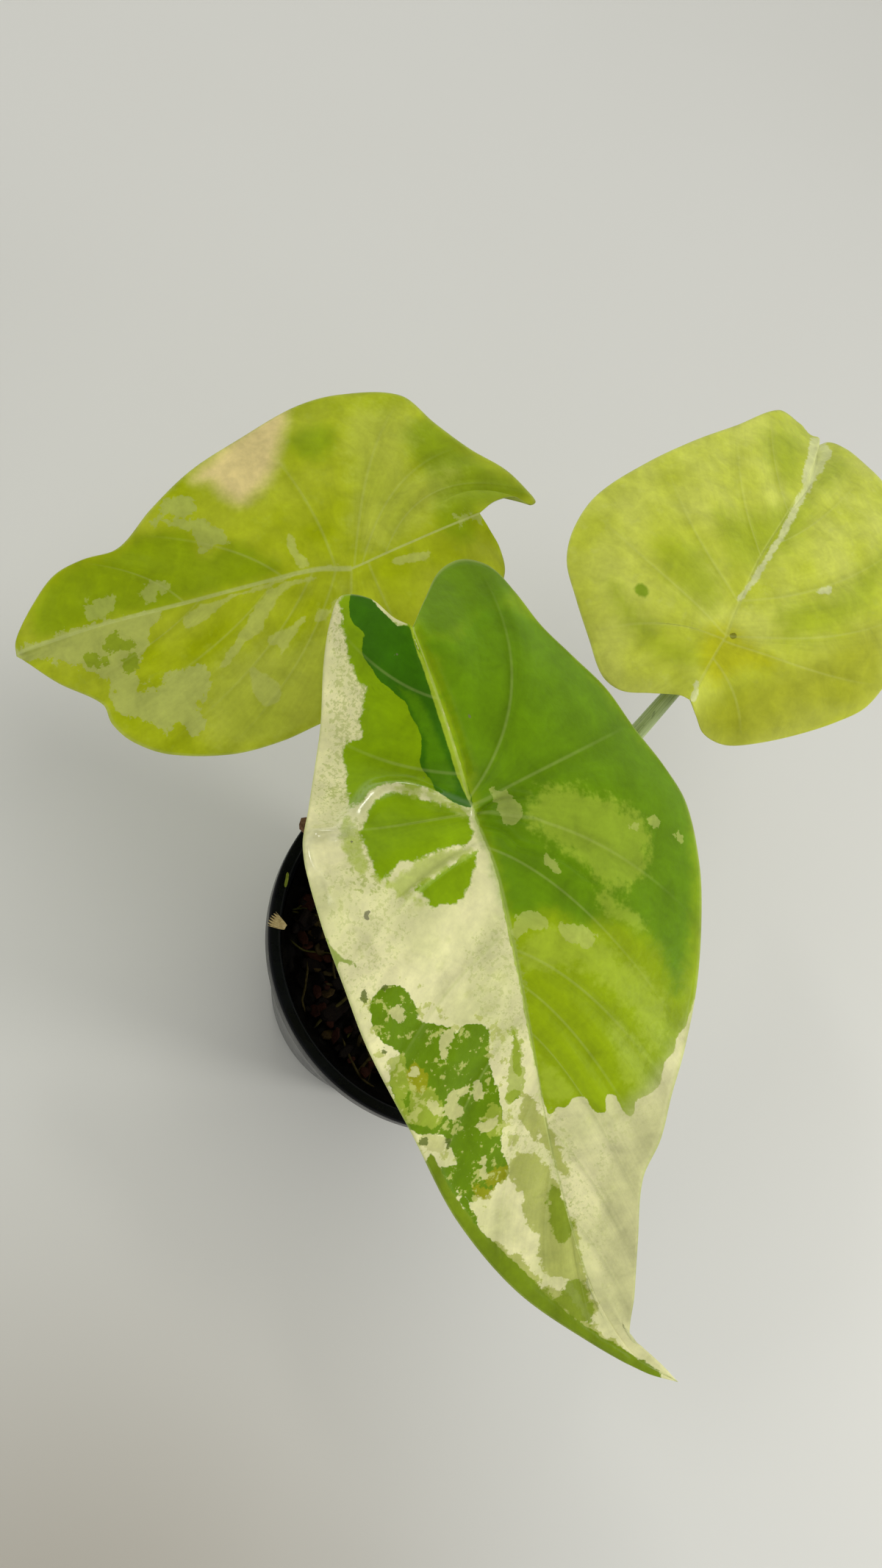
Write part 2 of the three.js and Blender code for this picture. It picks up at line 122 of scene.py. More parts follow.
def finished(material, surface):
    """The material, once its surface shader is joined to its output."""
    node(material.node_tree, "ShaderNodeOutputMaterial", {"Surface": surface.outputs[0]})
    return material


# %% Helpers for pieces
def new_piece(name, points, faces, materials, smooth=True):
    """A mesh object from points in millimetres and faces, with its first material on every face."""
    mesh = bpy.data.meshes.new(name)
    mesh.from_pydata((np.asarray(points, float) * MM).tolist(), [], faces)
    mesh.validate()
    for material in materials:
        mesh.materials.append(material)
    mesh.polygons.foreach_set("use_smooth", [smooth] * len(mesh.polygons))
    piece = bpy.data.objects.new(name, mesh)
    bpy.context.scene.collection.objects.link(piece)
    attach(piece, "root")
    return piece


def store(piece, name, values):
    """Keeps one number, or one vector, for each point of a piece, where its material can read it."""
    values = np.asarray(values, np.float32)
    kind = "FLOAT_VECTOR" if values.ndim == 2 else "FLOAT"
    attribute = piece.data.attributes.new(name, kind, "POINT")
    attribute.data.foreach_set("vector" if values.ndim == 2 else "value", values.ravel())


def print_size(piece):
    """Prints how many triangles a piece has."""
    print(piece.name, "has", sum(len(face.vertices) - 2 for face in piece.data.polygons), "triangles")


# %% Helpers for curves and rings
def smoothstep(low, high, value):
    """A soft step from 0 at low to 1 at high."""
    t = np.clip((value - low) / (high - low), 0, 1)
    return t * t * (3 - 2 * t)


def unit(vectors):
    """Vectors brought to a length of one."""
    return vectors / np.linalg.norm(vectors, axis=-1, keepdims=True)


def angles(count):
    """Evenly spaced angles round a circle."""
    return np.linspace(0, 2 * math.pi, count, endpoint=False)


def ring_quads(rings, sides):
    """The quads between closed rings of points, as rows of four point numbers."""
    grid = np.arange(rings * sides).reshape(rings, sides)
    near, far = grid[:-1], grid[1:]
    return np.stack([near, np.roll(near, -1, axis=1), np.roll(far, -1, axis=1), far], axis=-1).reshape(-1, 4)


def tube_faces(rings, sides):
    """The faces of a closed tube: its quads, and one face on each end."""
    last = (rings - 1) * sides
    return ring_quads(rings, sides).tolist() + [list(range(sides))[::-1], list(range(last, last + sides))]


def curve_through(points):
    """A smooth curve through points, read at fractions of its length. The CAD draws its blades with it."""
    points = np.array(points, float)
    count = len(points)
    at = np.concatenate([[0], np.cumsum(np.linalg.norm(np.diff(points, axis=0), axis=1))])
    after = np.minimum(np.arange(count) + 1, count - 1)
    before = np.maximum(np.arange(count) - 1, 0)
    slopes = (points[after] - points[before]) / (at[after] - at[before])[:, None]

    def read(fraction):
        s = np.clip(np.asarray(fraction, float), 0, 1) * at[-1]
        i = np.clip(np.searchsorted(at, s) - 1, 0, count - 2)
        gap = (at[i + 1] - at[i])[..., None]
        t = (s - at[i])[..., None] / gap
        near = points[i] * (1 + 2 * t) * (1 - t) ** 2 + slopes[i] * gap * t * (1 - t) ** 2
        far = points[i + 1] * t * t * (3 - 2 * t) + slopes[i + 1] * gap * t * t * (t - 1)
        return near + far

    return read, at / at[-1]


# %% [markdown]
# ## The shape of a leaf
#
# An aroid blade is a thin sheet on a few ribs: a midrib from the joint with the stalk to the tip, a short rib
# back to the notch between the two lobes, and side veins that sweep from these ribs to the edge. The sheet is
# drawn the way it grows. Each column of the mesh is a vein or lies between two veins, and each row follows
# the edge, so that a vein's colour and its low ridge fall exactly on a line of the mesh.
#
# All lengths are in millimetres from the joint, with y toward the tip. A vein is a pair of fractions: where
# it leaves the rib (1 at the tip, 0 at the joint, -1 at the notch), and where it meets the edge (0 at the tip
# and 1 at the notch). Cross is the number of the edge point where a lobe begins, and arch and lobe_bow bend
# the rows up and outward.

# %% The three leaves
FRONT_LEAF = {
    "joint": (-22, 10, 178),
    "turn": -153.7,
    "quilting": 0.7,
    "midrib": [
        (2, 15, -1.5), (7, 41, -9), (10.5, 70, -25), (12, 95, -37), (11, 113, -46), (9, 121.5, -49.5),
        (4, 129, -52), (-0.5, 135.5, -54),
    ],
    "suture": [(-3, -19, 2), (-6, -41, 4)],
    "left": {
        "cross": 11,
        "arch": 0.1,
        "lobe_bow": 0.006,
        "edge": [
            (2, 129, -52), (7, 120, -48), (3, 110.5, -42.5), (-1, 100, -36), (-6, 87, -27.5),
            (-12, 81, -22.5), (-18, 73.5, -19), (-25, 66.5, -17), (-34, 55.5, -14), (-43, 43, -13),
            (-49, 32, -12), (-53, 18.5, -10.5), (-52.5, 8.5, -10), (-50.5, -3, -10), (-48.5, -14, -9),
            (-44, -24, -7.5), (-40, -33.5, -6.5), (-38, -43, -6), (-35.5, -51, -6), (-30, -55, -6),
            (-23, -54, -5), (-14, -47.5, -0.5),
        ],
        "veins": [
            (0.62, 0.1), (0.47, 0.15), (0.32, 0.21), (0.25, 0.255), (0.2, 0.31), (0.054, 0.36), (0, 0.46),
            (-0.03, 0.66), (-0.07, 0.87),
        ],
    },
    "right": {
        "cross": 7,
        "arch": 0.05,
        "lobe_bow": 0.006,
        "edge": [
            (6, 129, -52), (16, 115, -47.5), (28, 95, -39.5), (35.5, 73.5, -29), (39, 53, -16), (42, 33, -5),
            (42, 21, 0), (41, 7, 3), (37, -7, 0), (30, -16, -6), (23, -25, -10), (17.5, -33, -10.5),
            (11, -45, -8.5), (6, -52.5, -6), (2, -56, -4), (-2.5, -52, -1), (-4, -45, 2),
        ],
        "veins": [
            (0.65, 0.1), (0.53, 0.16), (0.41, 0.24), (0.29, 0.35), (0.17, 0.46), (0.04, 0.56), (0, 0.69),
            (-0.2, 0.8), (-0.6, 0.9),
        ],
    },
}
LEFT_LEAF = {
    "joint": (-39.3, 83.2, 145),
    "turn": 100.8,
    "quilting": 0.6,
    "midrib": [(1, 8, -2), (1, 23, -8), (1, 39, -15), (1.5, 60, -25), (1, 79, -35), (4.5, 81.5, -46)],
    "suture": [(4, -12.5, 0), (8.5, -25.5, 0), (12.5, -37.5, 0)],
    "left": {
        "cross": 8,
        "arch": 0.06,
        "lobe_bow": 0.006,
        "edge": [
            (-2, 79, -37), (-9.5, 72.5, -34), (-17.5, 63, -31), (-23.5, 61.5, -30), (-29.5, 57.5, -28),
            (-35, 49.5, -25), (-39, 35, -19), (-38.5, 23, -15), (-36, 12.5, -12), (-33.5, 1, -11),
            (-28, -12, -10), (-21, -25.5, -9), (-12, -37, -8), (-2, -43.5, -7), (5, -43.5, -6), (9, -40, -2),
        ],
        "veins": [(0.4, 0.14), (0.2, 0.21), (0.1, 0.3), (0.04, 0.39), (0, 0.52), (-0.12, 0.69)],
    },
    "right": {
        "cross": 9,
        "arch": 0.08,
        "lobe_bow": 0.013,
        "edge": [
            (5, 81, -36), (12, 76, -32), (17.5, 70, -27.5), (19, 63, -23), (18.5, 54, -17), (26, 45, -12),
            (34, 34, -8), (40, 21, -4), (47.5, 5.5, -2), (51, -7.5, -2), (51, -25, -3), (43, -33.5, -4.5),
            (35.5, -42.5, -6), (29, -52, -7), (21.5, -58, -8), (19.5, -59, -8.5), (18.5, -57, -8),
            (20, -52, -6), (17.5, -44.5, -3),
        ],
        "veins": [(0.44, 0.17), (0.18, 0.25), (0.04, 0.44), (-0.02, 0.66), (-0.08, 0.76), (-0.25, 0.86)],
    },
}
RIGHT_LEAF = {
    "joint": (52.6, 63.4, 165),
    "turn": -32.9,
    "quilting": 0.6,
    "midrib": [
        (-1, 6, 0), (-2, 25, -1), (-0.5, 44, -4), (1, 64.5, -8), (0.5, 86, -14), (0.3, 92, -19), (1, 98, -42),
    ],
    "suture": [(-0.5, -10.5, -1), (0, -21, -3)],
    "left": {
        "cross": 7,
        "arch": 0.07,
        "lobe_bow": 0.006,
        "edge": [
            (-2.5, 97.5, -25), (-8, 91, -17), (-15, 86, -13), (-24, 67, -8.5), (-32, 51.5, -6),
            (-40, 34.5, -5), (-46.5, 16.5, -5), (-47, 3.5, -5), (-44, -5.5, -6), (-37, -12.5, -7),
            (-29, -19, -8.5), (-21, -25, -10), (-15, -25.5, -10), (-8.5, -22.5, -8), (-2.5, -20.5, -4.5),
        ],
        "veins": [(0.41, 0.22), (0.23, 0.31), (0.084, 0.47), (0, 0.63), (-0.06, 0.82)],
    },
    "right": {
        "cross": 8,
        "arch": 0.07,
        "lobe_bow": 0.006,
        "edge": [
            (4.5, 98, -24), (9.5, 95, -18.5), (17.5, 91.5, -16), (23, 89, -15), (32, 82, -13),
            (39, 69.5, -11), (44, 54.5, -9), (46.5, 40, -8), (46.5, 26, -8), (44, 12.5, -8), (38.5, 3, -8),
            (29.5, -8.5, -8), (20, -18.5, -8), (14.5, -22, -9.5), (8.5, -23, -9), (4, -21.5, -6.5),
        ],
        "veins": [(0.41, 0.12), (0.26, 0.19), (0.09, 0.33), (0, 0.47), (-0.08, 0.62), (-0.39, 0.89)],
    },
}

# %% The ribs and the columns of a blade
# A cell is at most CELL wide at the edge, on a blade whose half edge is about HALF_EDGE long.
CELL = 0.9
HALF_EDGE = 210
FEWEST_CELLS = 3


def ribs_of(leaf):
    """The midrib and the suture as curves, and each side's edge as a curve with its points' fractions."""
    midrib, _ = curve_through([(0, 0, 0)] + leaf["midrib"])
    suture, _ = curve_through([(0, 0, 0)] + leaf["suture"])
    edges = {}
    for side in ("left", "right"):
        edges[side] = curve_through([leaf["midrib"][-1]] + leaf[side]["edge"] + [leaf["suture"][-1]])
    return midrib, suture, edges


def columns_of(leaf, edges):
    """Where the mesh's columns leave the rib: at every vein of both sides, and evenly between them."""
    veins = {side: [(1, 0)] + leaf[side]["veins"] + [(-1, 1)] for side in edges}
    stops = sorted({rib for side in veins for rib, _ in veins[side]}, reverse=True)
    columns = []
    for start, end in zip(stops, stops[1:]):
        gap = 0
        for side in edges:
            ribs, fractions = np.array(veins[side]).T
            first, last = np.interp([-start, -end], -ribs, fractions)
            gap = max(gap, (last - first) * HALF_EDGE)
        steps = max(FEWEST_CELLS, math.ceil(gap / CELL))
        columns += list(np.linspace(start, end, steps, endpoint=False))
    return np.array(columns + [-1.0]), veins


# %% The middle surface of a blade
# A row's bend lies at these shares of its way from the rib to the edge: across, along and up. The blade
# swells between its veins where it is as wide as FULL_WIDTH, and dips round the joint. FAR is a distance
# that no point of a leaf reaches.
ROWS = 52
ROW_CROWDING = 0.5
BEND_ACROSS = 0.62
BEND_ALONG = 0.3
BEND_UP = 0.5
LOBE_POWER = 1.25
FULL_WIDTH = 20
DIMPLE_DEPTH = 1.5
DIMPLE_RADIUS = 8
FAR = 100.0


def half_sheet(leaf, side, columns, veins, ribs, edge):
    """One side's points for each column and row, the row's place from rib to edge, and the vein number."""
    midrib, suture = ribs
    read, fractions = edge
    shape = leaf[side]
    leaves, meets = np.array(veins).T
    number = np.interp(-columns, -leaves, np.arange(len(leaves)))
    outer_at = np.interp(-columns, -leaves, meets)
    inner = np.where(columns[:, None] >= 0, midrib(columns), suture(-columns))
    reach = read(outer_at) - inner
    width = np.linalg.norm(reach, axis=1)
    cross = fractions[shape["cross"] + 1]
    lobe = np.clip((outer_at - cross) / (1 - cross), 0, 1) ** LOBE_POWER
    push = shape["lobe_bow"] * (width * lobe) ** 2 * (-1 if side == "left" else 1)
    rise = BEND_UP * reach[:, 2] + shape["arch"] * width
    bend = inner + np.stack([BEND_ACROSS * reach[:, 0] + push, BEND_ALONG * reach[:, 1], rise], axis=1)
    full = np.minimum(1, width / FULL_WIDTH)[:, None]
    row = np.linspace(0, 1, ROWS + 1)[None, :] ** (1 + ROW_CROWDING * full)
    r = row[..., None]
    points = inner[:, None] * (1 - r) ** 2 + bend[:, None] * 2 * r * (1 - r) + read(outer_at)[:, None] * r * r
    swell = np.sin(np.pi * number)[:, None] ** 2 * np.sin(np.pi * row) * full
    from_joint = np.hypot(points[..., 0], points[..., 1]) / DIMPLE_RADIUS
    points[..., 2] += leaf["quilting"] * swell - DIMPLE_DEPTH * np.exp(-from_joint ** 2)
    return points, row, number


def vein_distance(points, number):
    """How far each point is from the nearest vein of its side, in millimetres, along its row."""
    nearest = np.full(points.shape[:2], FAR)
    for vein in range(1, int(round(number[-1]))):
        column = int(np.argmin(np.abs(number - vein)))
        nearest = np.minimum(nearest, np.linalg.norm(points - points[column], axis=2))
    return nearest


def sheet_of(leaf):
    """The whole middle surface as a grid of columns and lines, with the facts that colour and relief need."""
    midrib, suture, edges = ribs_of(leaf)
    columns, veins = columns_of(leaf, edges)
    halves = []
    for side, edge in edges.items():
        points, row, number = half_sheet(leaf, side, columns, veins[side], (midrib, suture), edge)
        numbers = np.broadcast_to(number[:, None], row.shape)
        halves.append([points, row, vein_distance(points, number), numbers])
    joined = [np.concatenate([left[:, :0:-1], right], axis=1) for left, right in zip(*halves)]
    points, row, vein, number = joined
    return {"points": points, "row": row, "vein": vein, "number": number, "columns": columns}


# %% [markdown]
# ## From a sheet to a blade
#
# The sheet gets two faces. The upper one has low ridges where the veins run and a fine groove along its
# midrib, and the lower one has the round keel that every aroid has under its midrib, with smaller ones under
# its side veins. Toward the edge the two faces come together, because a real edge is thin.

# %% The two faces of a blade
BLADE_THICKNESS = 0.55
EDGE_THICKNESS = 0.3
THIN_FROM = 0.85
VEIN_RIDGE = 0.22
VEIN_WIDTH = 0.75
VEIN_OPENS = 6
UNDER_VEIN = 2.2
GROOVE_DEPTH = 0.12
GROOVE_WIDTH = 0.35
KEEL = 1.3
KEEL_WIDTH = 1.6
KEEL_ENDS = 8


def grid_normals(points):
    """The unit normal of a grid of points, from its neighbours along both directions."""
    along = np.gradient(points, axis=0)
    across = np.gradient(points, axis=1)
    normals = np.cross(along, across)
    length = np.linalg.norm(normals, axis=2, keepdims=True)
    normals = normals / np.maximum(length, 1e-9)
    normals[0] = normals[1]
    normals[-1] = normals[-2]
    return normals * np.sign(normals[len(points) // 2, ROWS, 2])


def both_faces(points, row, vein, from_rib):
    """The points of the upper and the lower face of a sheet."""
    normals = grid_normals(points)
    ridge = np.exp(-(vein / VEIN_WIDTH) ** 2) * (1 - row ** 3) * smoothstep(0, VEIN_OPENS, from_rib)
    column = np.arange(len(points))
    ends = np.minimum(1, KEEL_ENDS * np.minimum(column, column[::-1]) / len(points))[:, None]
    keel = KEEL * np.exp(-(from_rib / KEEL_WIDTH) ** 2) * ends
    half = 0.5 * (EDGE_THICKNESS + (BLADE_THICKNESS - EDGE_THICKNESS) * smoothstep(1, THIN_FROM, row))
    groove = GROOVE_DEPTH * np.exp(-(from_rib / GROOVE_WIDTH) ** 2)
    top = points + normals * (half + VEIN_RIDGE * ridge - groove)[..., None]
    bottom = points - normals * (half + keel + UNDER_VEIN * VEIN_RIDGE * ridge)[..., None]
    return top, bottom


def blade_faces(columns, lines):
    """The quads of both faces and of the strip that joins them at the edge, as rows of four point numbers."""
    grid = np.arange(columns * lines).reshape(columns, lines)
    a, b = grid[:-1, :-1].ravel(), grid[:-1, 1:].ravel()
    c, d = grid[1:, :-1].ravel(), grid[1:, 1:].ravel()
    top = np.stack([a, c, d, b], axis=1)
    under = columns * lines
    bottom = np.stack([a, b, d, c], axis=1) + under
    rim = np.concatenate([grid[:, 0], grid[-1, 1:], grid[-2::-1, -1], grid[0, -2:0:-1]])
    following = np.roll(rim, -1)
    strip = np.stack([rim, rim + under, following + under, following], axis=1)
    return top, bottom, strip


# %% Build a blade
# A streak's place counts the veins along the rib, and STREAK_ROWS from the rib to the edge. The pale line of
# the suture is drawn SUTURE_SHARE times as narrow as the midrib's.
STREAK_ROWS = 6
SUTURE_SHARE = 2


def to_world(points, leaf):
    """Points of a leaf, moved and turned to where it grows."""
    angle = math.radians(leaf["turn"])
    x = points[..., 0] * math.cos(angle) - points[..., 1] * math.sin(angle)
    y = points[..., 0] * math.sin(angle) + points[..., 1] * math.cos(angle)
    return np.stack([x, y, points[..., 2]], axis=-1) + np.array(leaf["joint"], float)


def build_blade(name, leaf, materials, zones, creases):
    """A blade as one mesh, with the distances that its skin reads kept on its points."""
    sheet = sheet_of(leaf)
    points, from_crease = creased(leaf, sheet["points"], creases)
    row, vein = sheet["row"], sheet["vein"]
    from_rib = np.linalg.norm(points - points[:, ROWS:ROWS + 1], axis=2)
    top, bottom = [to_world(face, leaf) for face in both_faces(points, row, vein, from_rib)]
    upper, lower, strip = blade_faces(*row.shape)
    faces = np.concatenate([upper, lower, strip]).tolist()
    piece = new_piece(name, np.concatenate([top, bottom]).reshape(-1, 3), faces, materials)
    slots = np.zeros(len(faces), np.int32)
    slots[len(upper):len(upper) + len(lower)] = 1
    piece.data.polygons.foreach_set("material_index", slots)
    side = np.sign(np.arange(row.shape[1]) - ROWS) * np.ones_like(row)
    facts = {
        "vein": vein, "rib": from_rib * np.where(sheet["columns"] < 0, SUTURE_SHARE, 1)[:, None], "row": row,
        "crease": from_crease, "streak": np.stack([sheet["number"], row * STREAK_ROWS, side], axis=-1),
    }
    pixels = photo_pixels(top)
    facts.update({zone["name"]: zone_distance(pixels, zone) for zone in zones})
    for key, values in facts.items():
        store(piece, key, np.concatenate([values, values]).reshape(-1, *values.shape[2:]))
    print_size(piece)
    return piece


# %% [markdown]
# ## Colour zones
#
# Variegation is a patchwork of cell lines, each with its own green. A zone is one patch or a family of like
# patches: a colour and one or more outlines, traced in the photograph's pixels. Every point of the blade
# keeps its distance to the outline, positive inside, and the material turns that into an edge. It is as wide
# as the zone is soft, and it wanders as far as the zone is ragged, in millimetres. Cover is how much of the
# colour below is hidden. Depth is the most that the distance may be: below zero, only the peaks of the
# pattern reach the zone's colour, so that it breaks up into flecks. A crease is an open line, traced in the
# same way, along which the blade is folded up or down.

# %% Distance to an outline
# A pixel covers about this much of a leaf. A curve is cut into a few straight steps at each of its corners.
MM_PER_PIXEL = 0.19
OUTLINE_STEPS = 5
LINE_STEPS = 6


def closed_outline(corners):
    """A smooth closed outline through its corners."""
    count = len(corners)
    ring = [corners[i % count] for i in range(-2, count + 3)]
    read, at = curve_through([(x, y, 0) for x, y in ring])
    steps = np.linspace(at[2], at[count + 2], OUTLINE_STEPS * count, endpoint=False)
    return read(steps)[:, :2]


def outline_distance(pixels, corners):
    """How far each pixel lies inside an outline, negative outside."""
    outline = closed_outline(corners)
    flat = pixels.reshape(-1, 2)
    nearest = np.full(len(flat), 1e9)
    inside = np.zeros(len(flat), bool)
    for (ax, ay), (bx, by) in zip(outline, np.roll(outline, -1, axis=0)):
        ex, ey = bx - ax, by - ay
        px, py = flat[:, 0] - ax, flat[:, 1] - ay
        t = np.clip((px * ex + py * ey) / (ex * ex + ey * ey + 1e-12), 0, 1)
        nearest = np.minimum(nearest, (px - t * ex) ** 2 + (py - t * ey) ** 2)
        if ay != by:
            crossing = ((ay > flat[:, 1]) != (by > flat[:, 1])) & (px < ex * py / ey)
            inside ^= crossing
    return np.where(inside, 1, -1) * np.sqrt(nearest)


def zone_distance(pixels, zone):
    """The distance into the nearest of a zone's outlines, in millimetres on the leaf."""
    distances = [outline_distance(pixels, corners) for corners in zone["outlines"]]
    inside = np.max(distances, axis=0).reshape(pixels.shape[:2]) * MM_PER_PIXEL
    return np.minimum(inside, zone.get("depth", FAR))


# %% Creases
# The wax shines beside a crease that is higher than this, in millimetres.
SHARP_CREASE = 0.7


def line_distance(pixels, path):
    """How far each pixel is from an open line."""
    read, _ = curve_through([(x, y, 0) for x, y in path])
    line = read(np.linspace(0, 1, LINE_STEPS * len(path)))[:, :2]
    nearest = np.full(pixels.shape[:-1], 1e9)
    for start, end in zip(line, line[1:]):
        along, away = end - start, pixels - start
        t = np.clip(away @ along / (along @ along), 0, 1)
        nearest = np.minimum(nearest, np.linalg.norm(away - t[..., None] * along, axis=-1))
    return nearest


def creased(leaf, points, creases):
    """The sheet's points after its creases are folded in, and how far each is from a sharp crease."""
    pixels = photo_pixels(to_world(points, leaf))
    folded = points.copy()
    nearest = np.full(points.shape[:2], FAR)
    for crease in creases:
        away = line_distance(pixels, crease["path"]) * MM_PER_PIXEL
        folded[..., 2] += crease["height"] * np.exp(-(away / crease["width"]) ** 2)
        if crease["height"] > SHARP_CREASE:
            nearest = np.minimum(nearest, away)
    return folded, nearest


# %% [markdown]
# ## The skin of a leaf
#
# A leaf is smooth and satin above, and it lets some light through, so that a blade with the bright floor
# behind it glows. Where the blade is sharply creased, its wax draws a thin wet highlight. So the skin is a
# Principled shader with little mirror shine, whose coat shows beside the sharp creases alone, and a
# Translucent shader for the light that comes through. The base colour is laid down in layers: the ground,
# each colour zone in turn, and the pale veins. Then its tone swings a little: in streaks along the veins and
# in soft uneven patches, and painted shade darkens the valleys beside the veins while painted light lifts
# the swells between them.

# %% The patterns of a leaf
# Each pattern is a noise: the size of its lumps in millimetres, its detail, its roughness and its twist. The
# dust stands for freckles of single cells, which are too fine to show, so it is drawn as coarse as it needs.
PATTERNS = {
    "cloud": (16, 2.0, 0.5, 0.0),
    "mottle": (7, 3.0, 0.55, 0.6),
    "ragged": (3.2, 5.0, 0.62, 0.0),
    "fine": (1.3, 3.0, 0.6, 0.0),
    "dust": (0.9, 3.0, 0.7, 0.0),
}
STREAK_SCALE = (14, 0.6, 3)


def leaf_patterns(tree):
    """The patterns by name, and the streaks that run along the veins."""
    place = node(tree, "ShaderNodeTexCoord").outputs["Object"]
    patterns = {}
    for name, (size, detail, roughness, twist) in PATTERNS.items():
        settings = {"Vector": place, "Scale": 1 / (size * MM), "Detail": detail, "Roughness": roughness}
        settings["Distortion"] = twist
        patterns[name] = node(tree, "ShaderNodeTexNoise", settings).outputs["Fac"]
    along = node(tree, "ShaderNodeAttribute", attribute_name="streak").outputs["Vector"]
    along = node(tree, "ShaderNodeMapping", {"Vector": along, "Scale": STREAK_SCALE}).outputs[0]
    settings = {"Vector": along, "Scale": 1.0, "Detail": 4.0}
    patterns["streaks"] = node(tree, "ShaderNodeTexNoise", settings).outputs["Fac"]
    return patterns


# %% The colour of a leaf
# The two patterns move a zone's edge by up to this many millimetres, times how ragged it is.
RAGGED_REACH = 5
FINE_REACH = 2.4


def layer(tree, colour, zone, patterns):
    """The colour after a zone is laid over it. A dusty zone is broken up by the finest pattern."""
    distance = node(tree, "ShaderNodeAttribute", attribute_name=zone["name"]).outputs["Fac"]
    rough, soft = zone["ragged"], zone["soft"]
    breaking = patterns["dust" if zone.get("dusty") else "ragged"]
    settings = {0: breaking, 1: RAGGED_REACH * rough, 2: distance}
    wandering = node(tree, "ShaderNodeMath", settings, operation="MULTIPLY_ADD").outputs[0]
    settings = {0: patterns["fine"], 1: FINE_REACH * rough, 2: wandering}
    edge = node(tree, "ShaderNodeMath", settings, operation="MULTIPLY_ADD").outputs[0]
    middle = 0.5 * (RAGGED_REACH + FINE_REACH) * rough
    settings = {"Value": edge, "From Min": middle - soft, "From Max": middle + soft}
    settings["To Max"] = zone.get("cover", 1.0)
    share = node(tree, "ShaderNodeMapRange", settings, interpolation_type="SMOOTHSTEP").outputs[0]
    settings = {0: share, 6: colour, 7: linear(zone["colour"])}
    return node(tree, "ShaderNodeMix", settings, data_type="RGBA").outputs[2]


def painted(tree, look, zones, patterns):
    """The ground with its clouds and speckles, and every zone over it."""
    settings = {"Value": patterns["cloud"], "From Min": 0.35, "From Max": 0.65}
    share = node(tree, "ShaderNodeMapRange", settings).outputs[0]
    settings = {0: share, 6: linear(look["ground"]), 7: linear(look["ground_cloud"])}
    colour = node(tree, "ShaderNodeMix", settings, data_type="RGBA").outputs[2]
    settings = {"Value": patterns["ragged"], "From Min": 0.56, "From Max": 0.72}
    settings["To Max"] = look["speckle_share"]
    share = node(tree, "ShaderNodeMapRange", settings).outputs[0]
    settings = {0: share, 6: colour, 7: linear(look["speckle"])}
    colour = node(tree, "ShaderNodeMix", settings, data_type="RGBA").outputs[2]
    for zone in zones:
        colour = layer(tree, colour, zone, patterns)
    return colour


# %% The pale lines of a leaf
# The share of the pale colour on a side vein, which fades toward the edge. The ribs have their own share.
VEIN_STRENGTH = 0.2


def veined(tree, colour, look):
    """The colour after the pale lines are laid over it: the side veins, the ribs and the thin edge."""
    away = {}
    for name in ("vein", "rib", "row"):
        away[name] = node(tree, "ShaderNodeAttribute", attribute_name=name).outputs["Fac"]
    settings = {"Value": away["vein"], "From Min": 0.6, "From Max": 0.1, "To Max": VEIN_STRENGTH}
    on_vein = node(tree, "ShaderNodeMapRange", settings, interpolation_type="SMOOTHSTEP").outputs[0]
    settings = {"Value": away["row"], "From Min": 0.95, "From Max": 0.45}
    fading = node(tree, "ShaderNodeMapRange", settings).outputs[0]
    on_vein = node(tree, "ShaderNodeMath", {0: on_vein, 1: fading}, operation="MULTIPLY").outputs[0]
    settings = {"Value": away["rib"], "From Min": 1.0, "From Max": 0.3, "To Max": look["rib_strength"]}
    on_rib = node(tree, "ShaderNodeMapRange", settings, interpolation_type="SMOOTHSTEP").outputs[0]
    settings = {"Value": away["row"], "From Min": 0.985, "From Max": 1.0, "To Max": 0.5}
    at_edge = node(tree, "ShaderNodeMapRange", settings).outputs[0]
    for share in (on_vein, on_rib, at_edge):
        settings = {0: share, 6: colour, 7: linear(look["vein"])}
        colour = node(tree, "ShaderNodeMix", settings, data_type="RGBA").outputs[2]
    return colour


# %% The tone of a leaf
# Each pattern makes the colour lighter and darker by up to its share. Between two veins painted light raises
# the tone a little, and beside a vein painted shade lowers it to the leaf's own valley value.
TONE_SHARES = {"streaks": 0.035, "mottle": 0.13, "fine": 0.05}
PAINTED_CROWN_LIGHT = 1.03


def toned_with_painted_shade(tree, colour, look, patterns):
    """The colour after its tone is swung by the patterns, with painted shade beside the veins and painted
    light between them.
    """
    vein = node(tree, "ShaderNodeAttribute", attribute_name="vein").outputs["Fac"]
    settings = {"Value": vein, "From Min": 0.7, "From Max": 5.0, "To Min": look["painted_valley_shade"]}
    settings["To Max"] = PAINTED_CROWN_LIGHT
    tone = node(tree, "ShaderNodeMapRange", settings, interpolation_type="SMOOTHSTEP").outputs[0]
    for name, share in TONE_SHARES.items():
        settings = {"Value": patterns[name], "From Min": 0.3, "From Max": 0.7}
        settings.update({"To Min": -share, "To Max": share})
        swing = node(tree, "ShaderNodeMapRange", settings).outputs[0]
        tone = node(tree, "ShaderNodeMath", {0: tone, 1: swing}, operation="ADD").outputs[0]
    return node(tree, "ShaderNodeVectorMath", {0: colour, "Scale": tone}, operation="SCALE").outputs[0]


# %% The material of a leaf
# GLOW is the share of light that comes through. The pale bloom covers UNDER_BLOOM of a lower face.
GLOW = 0.16
UNDER_BLOOM = 0.45
UNDER_ROUGHNESS = 0.6


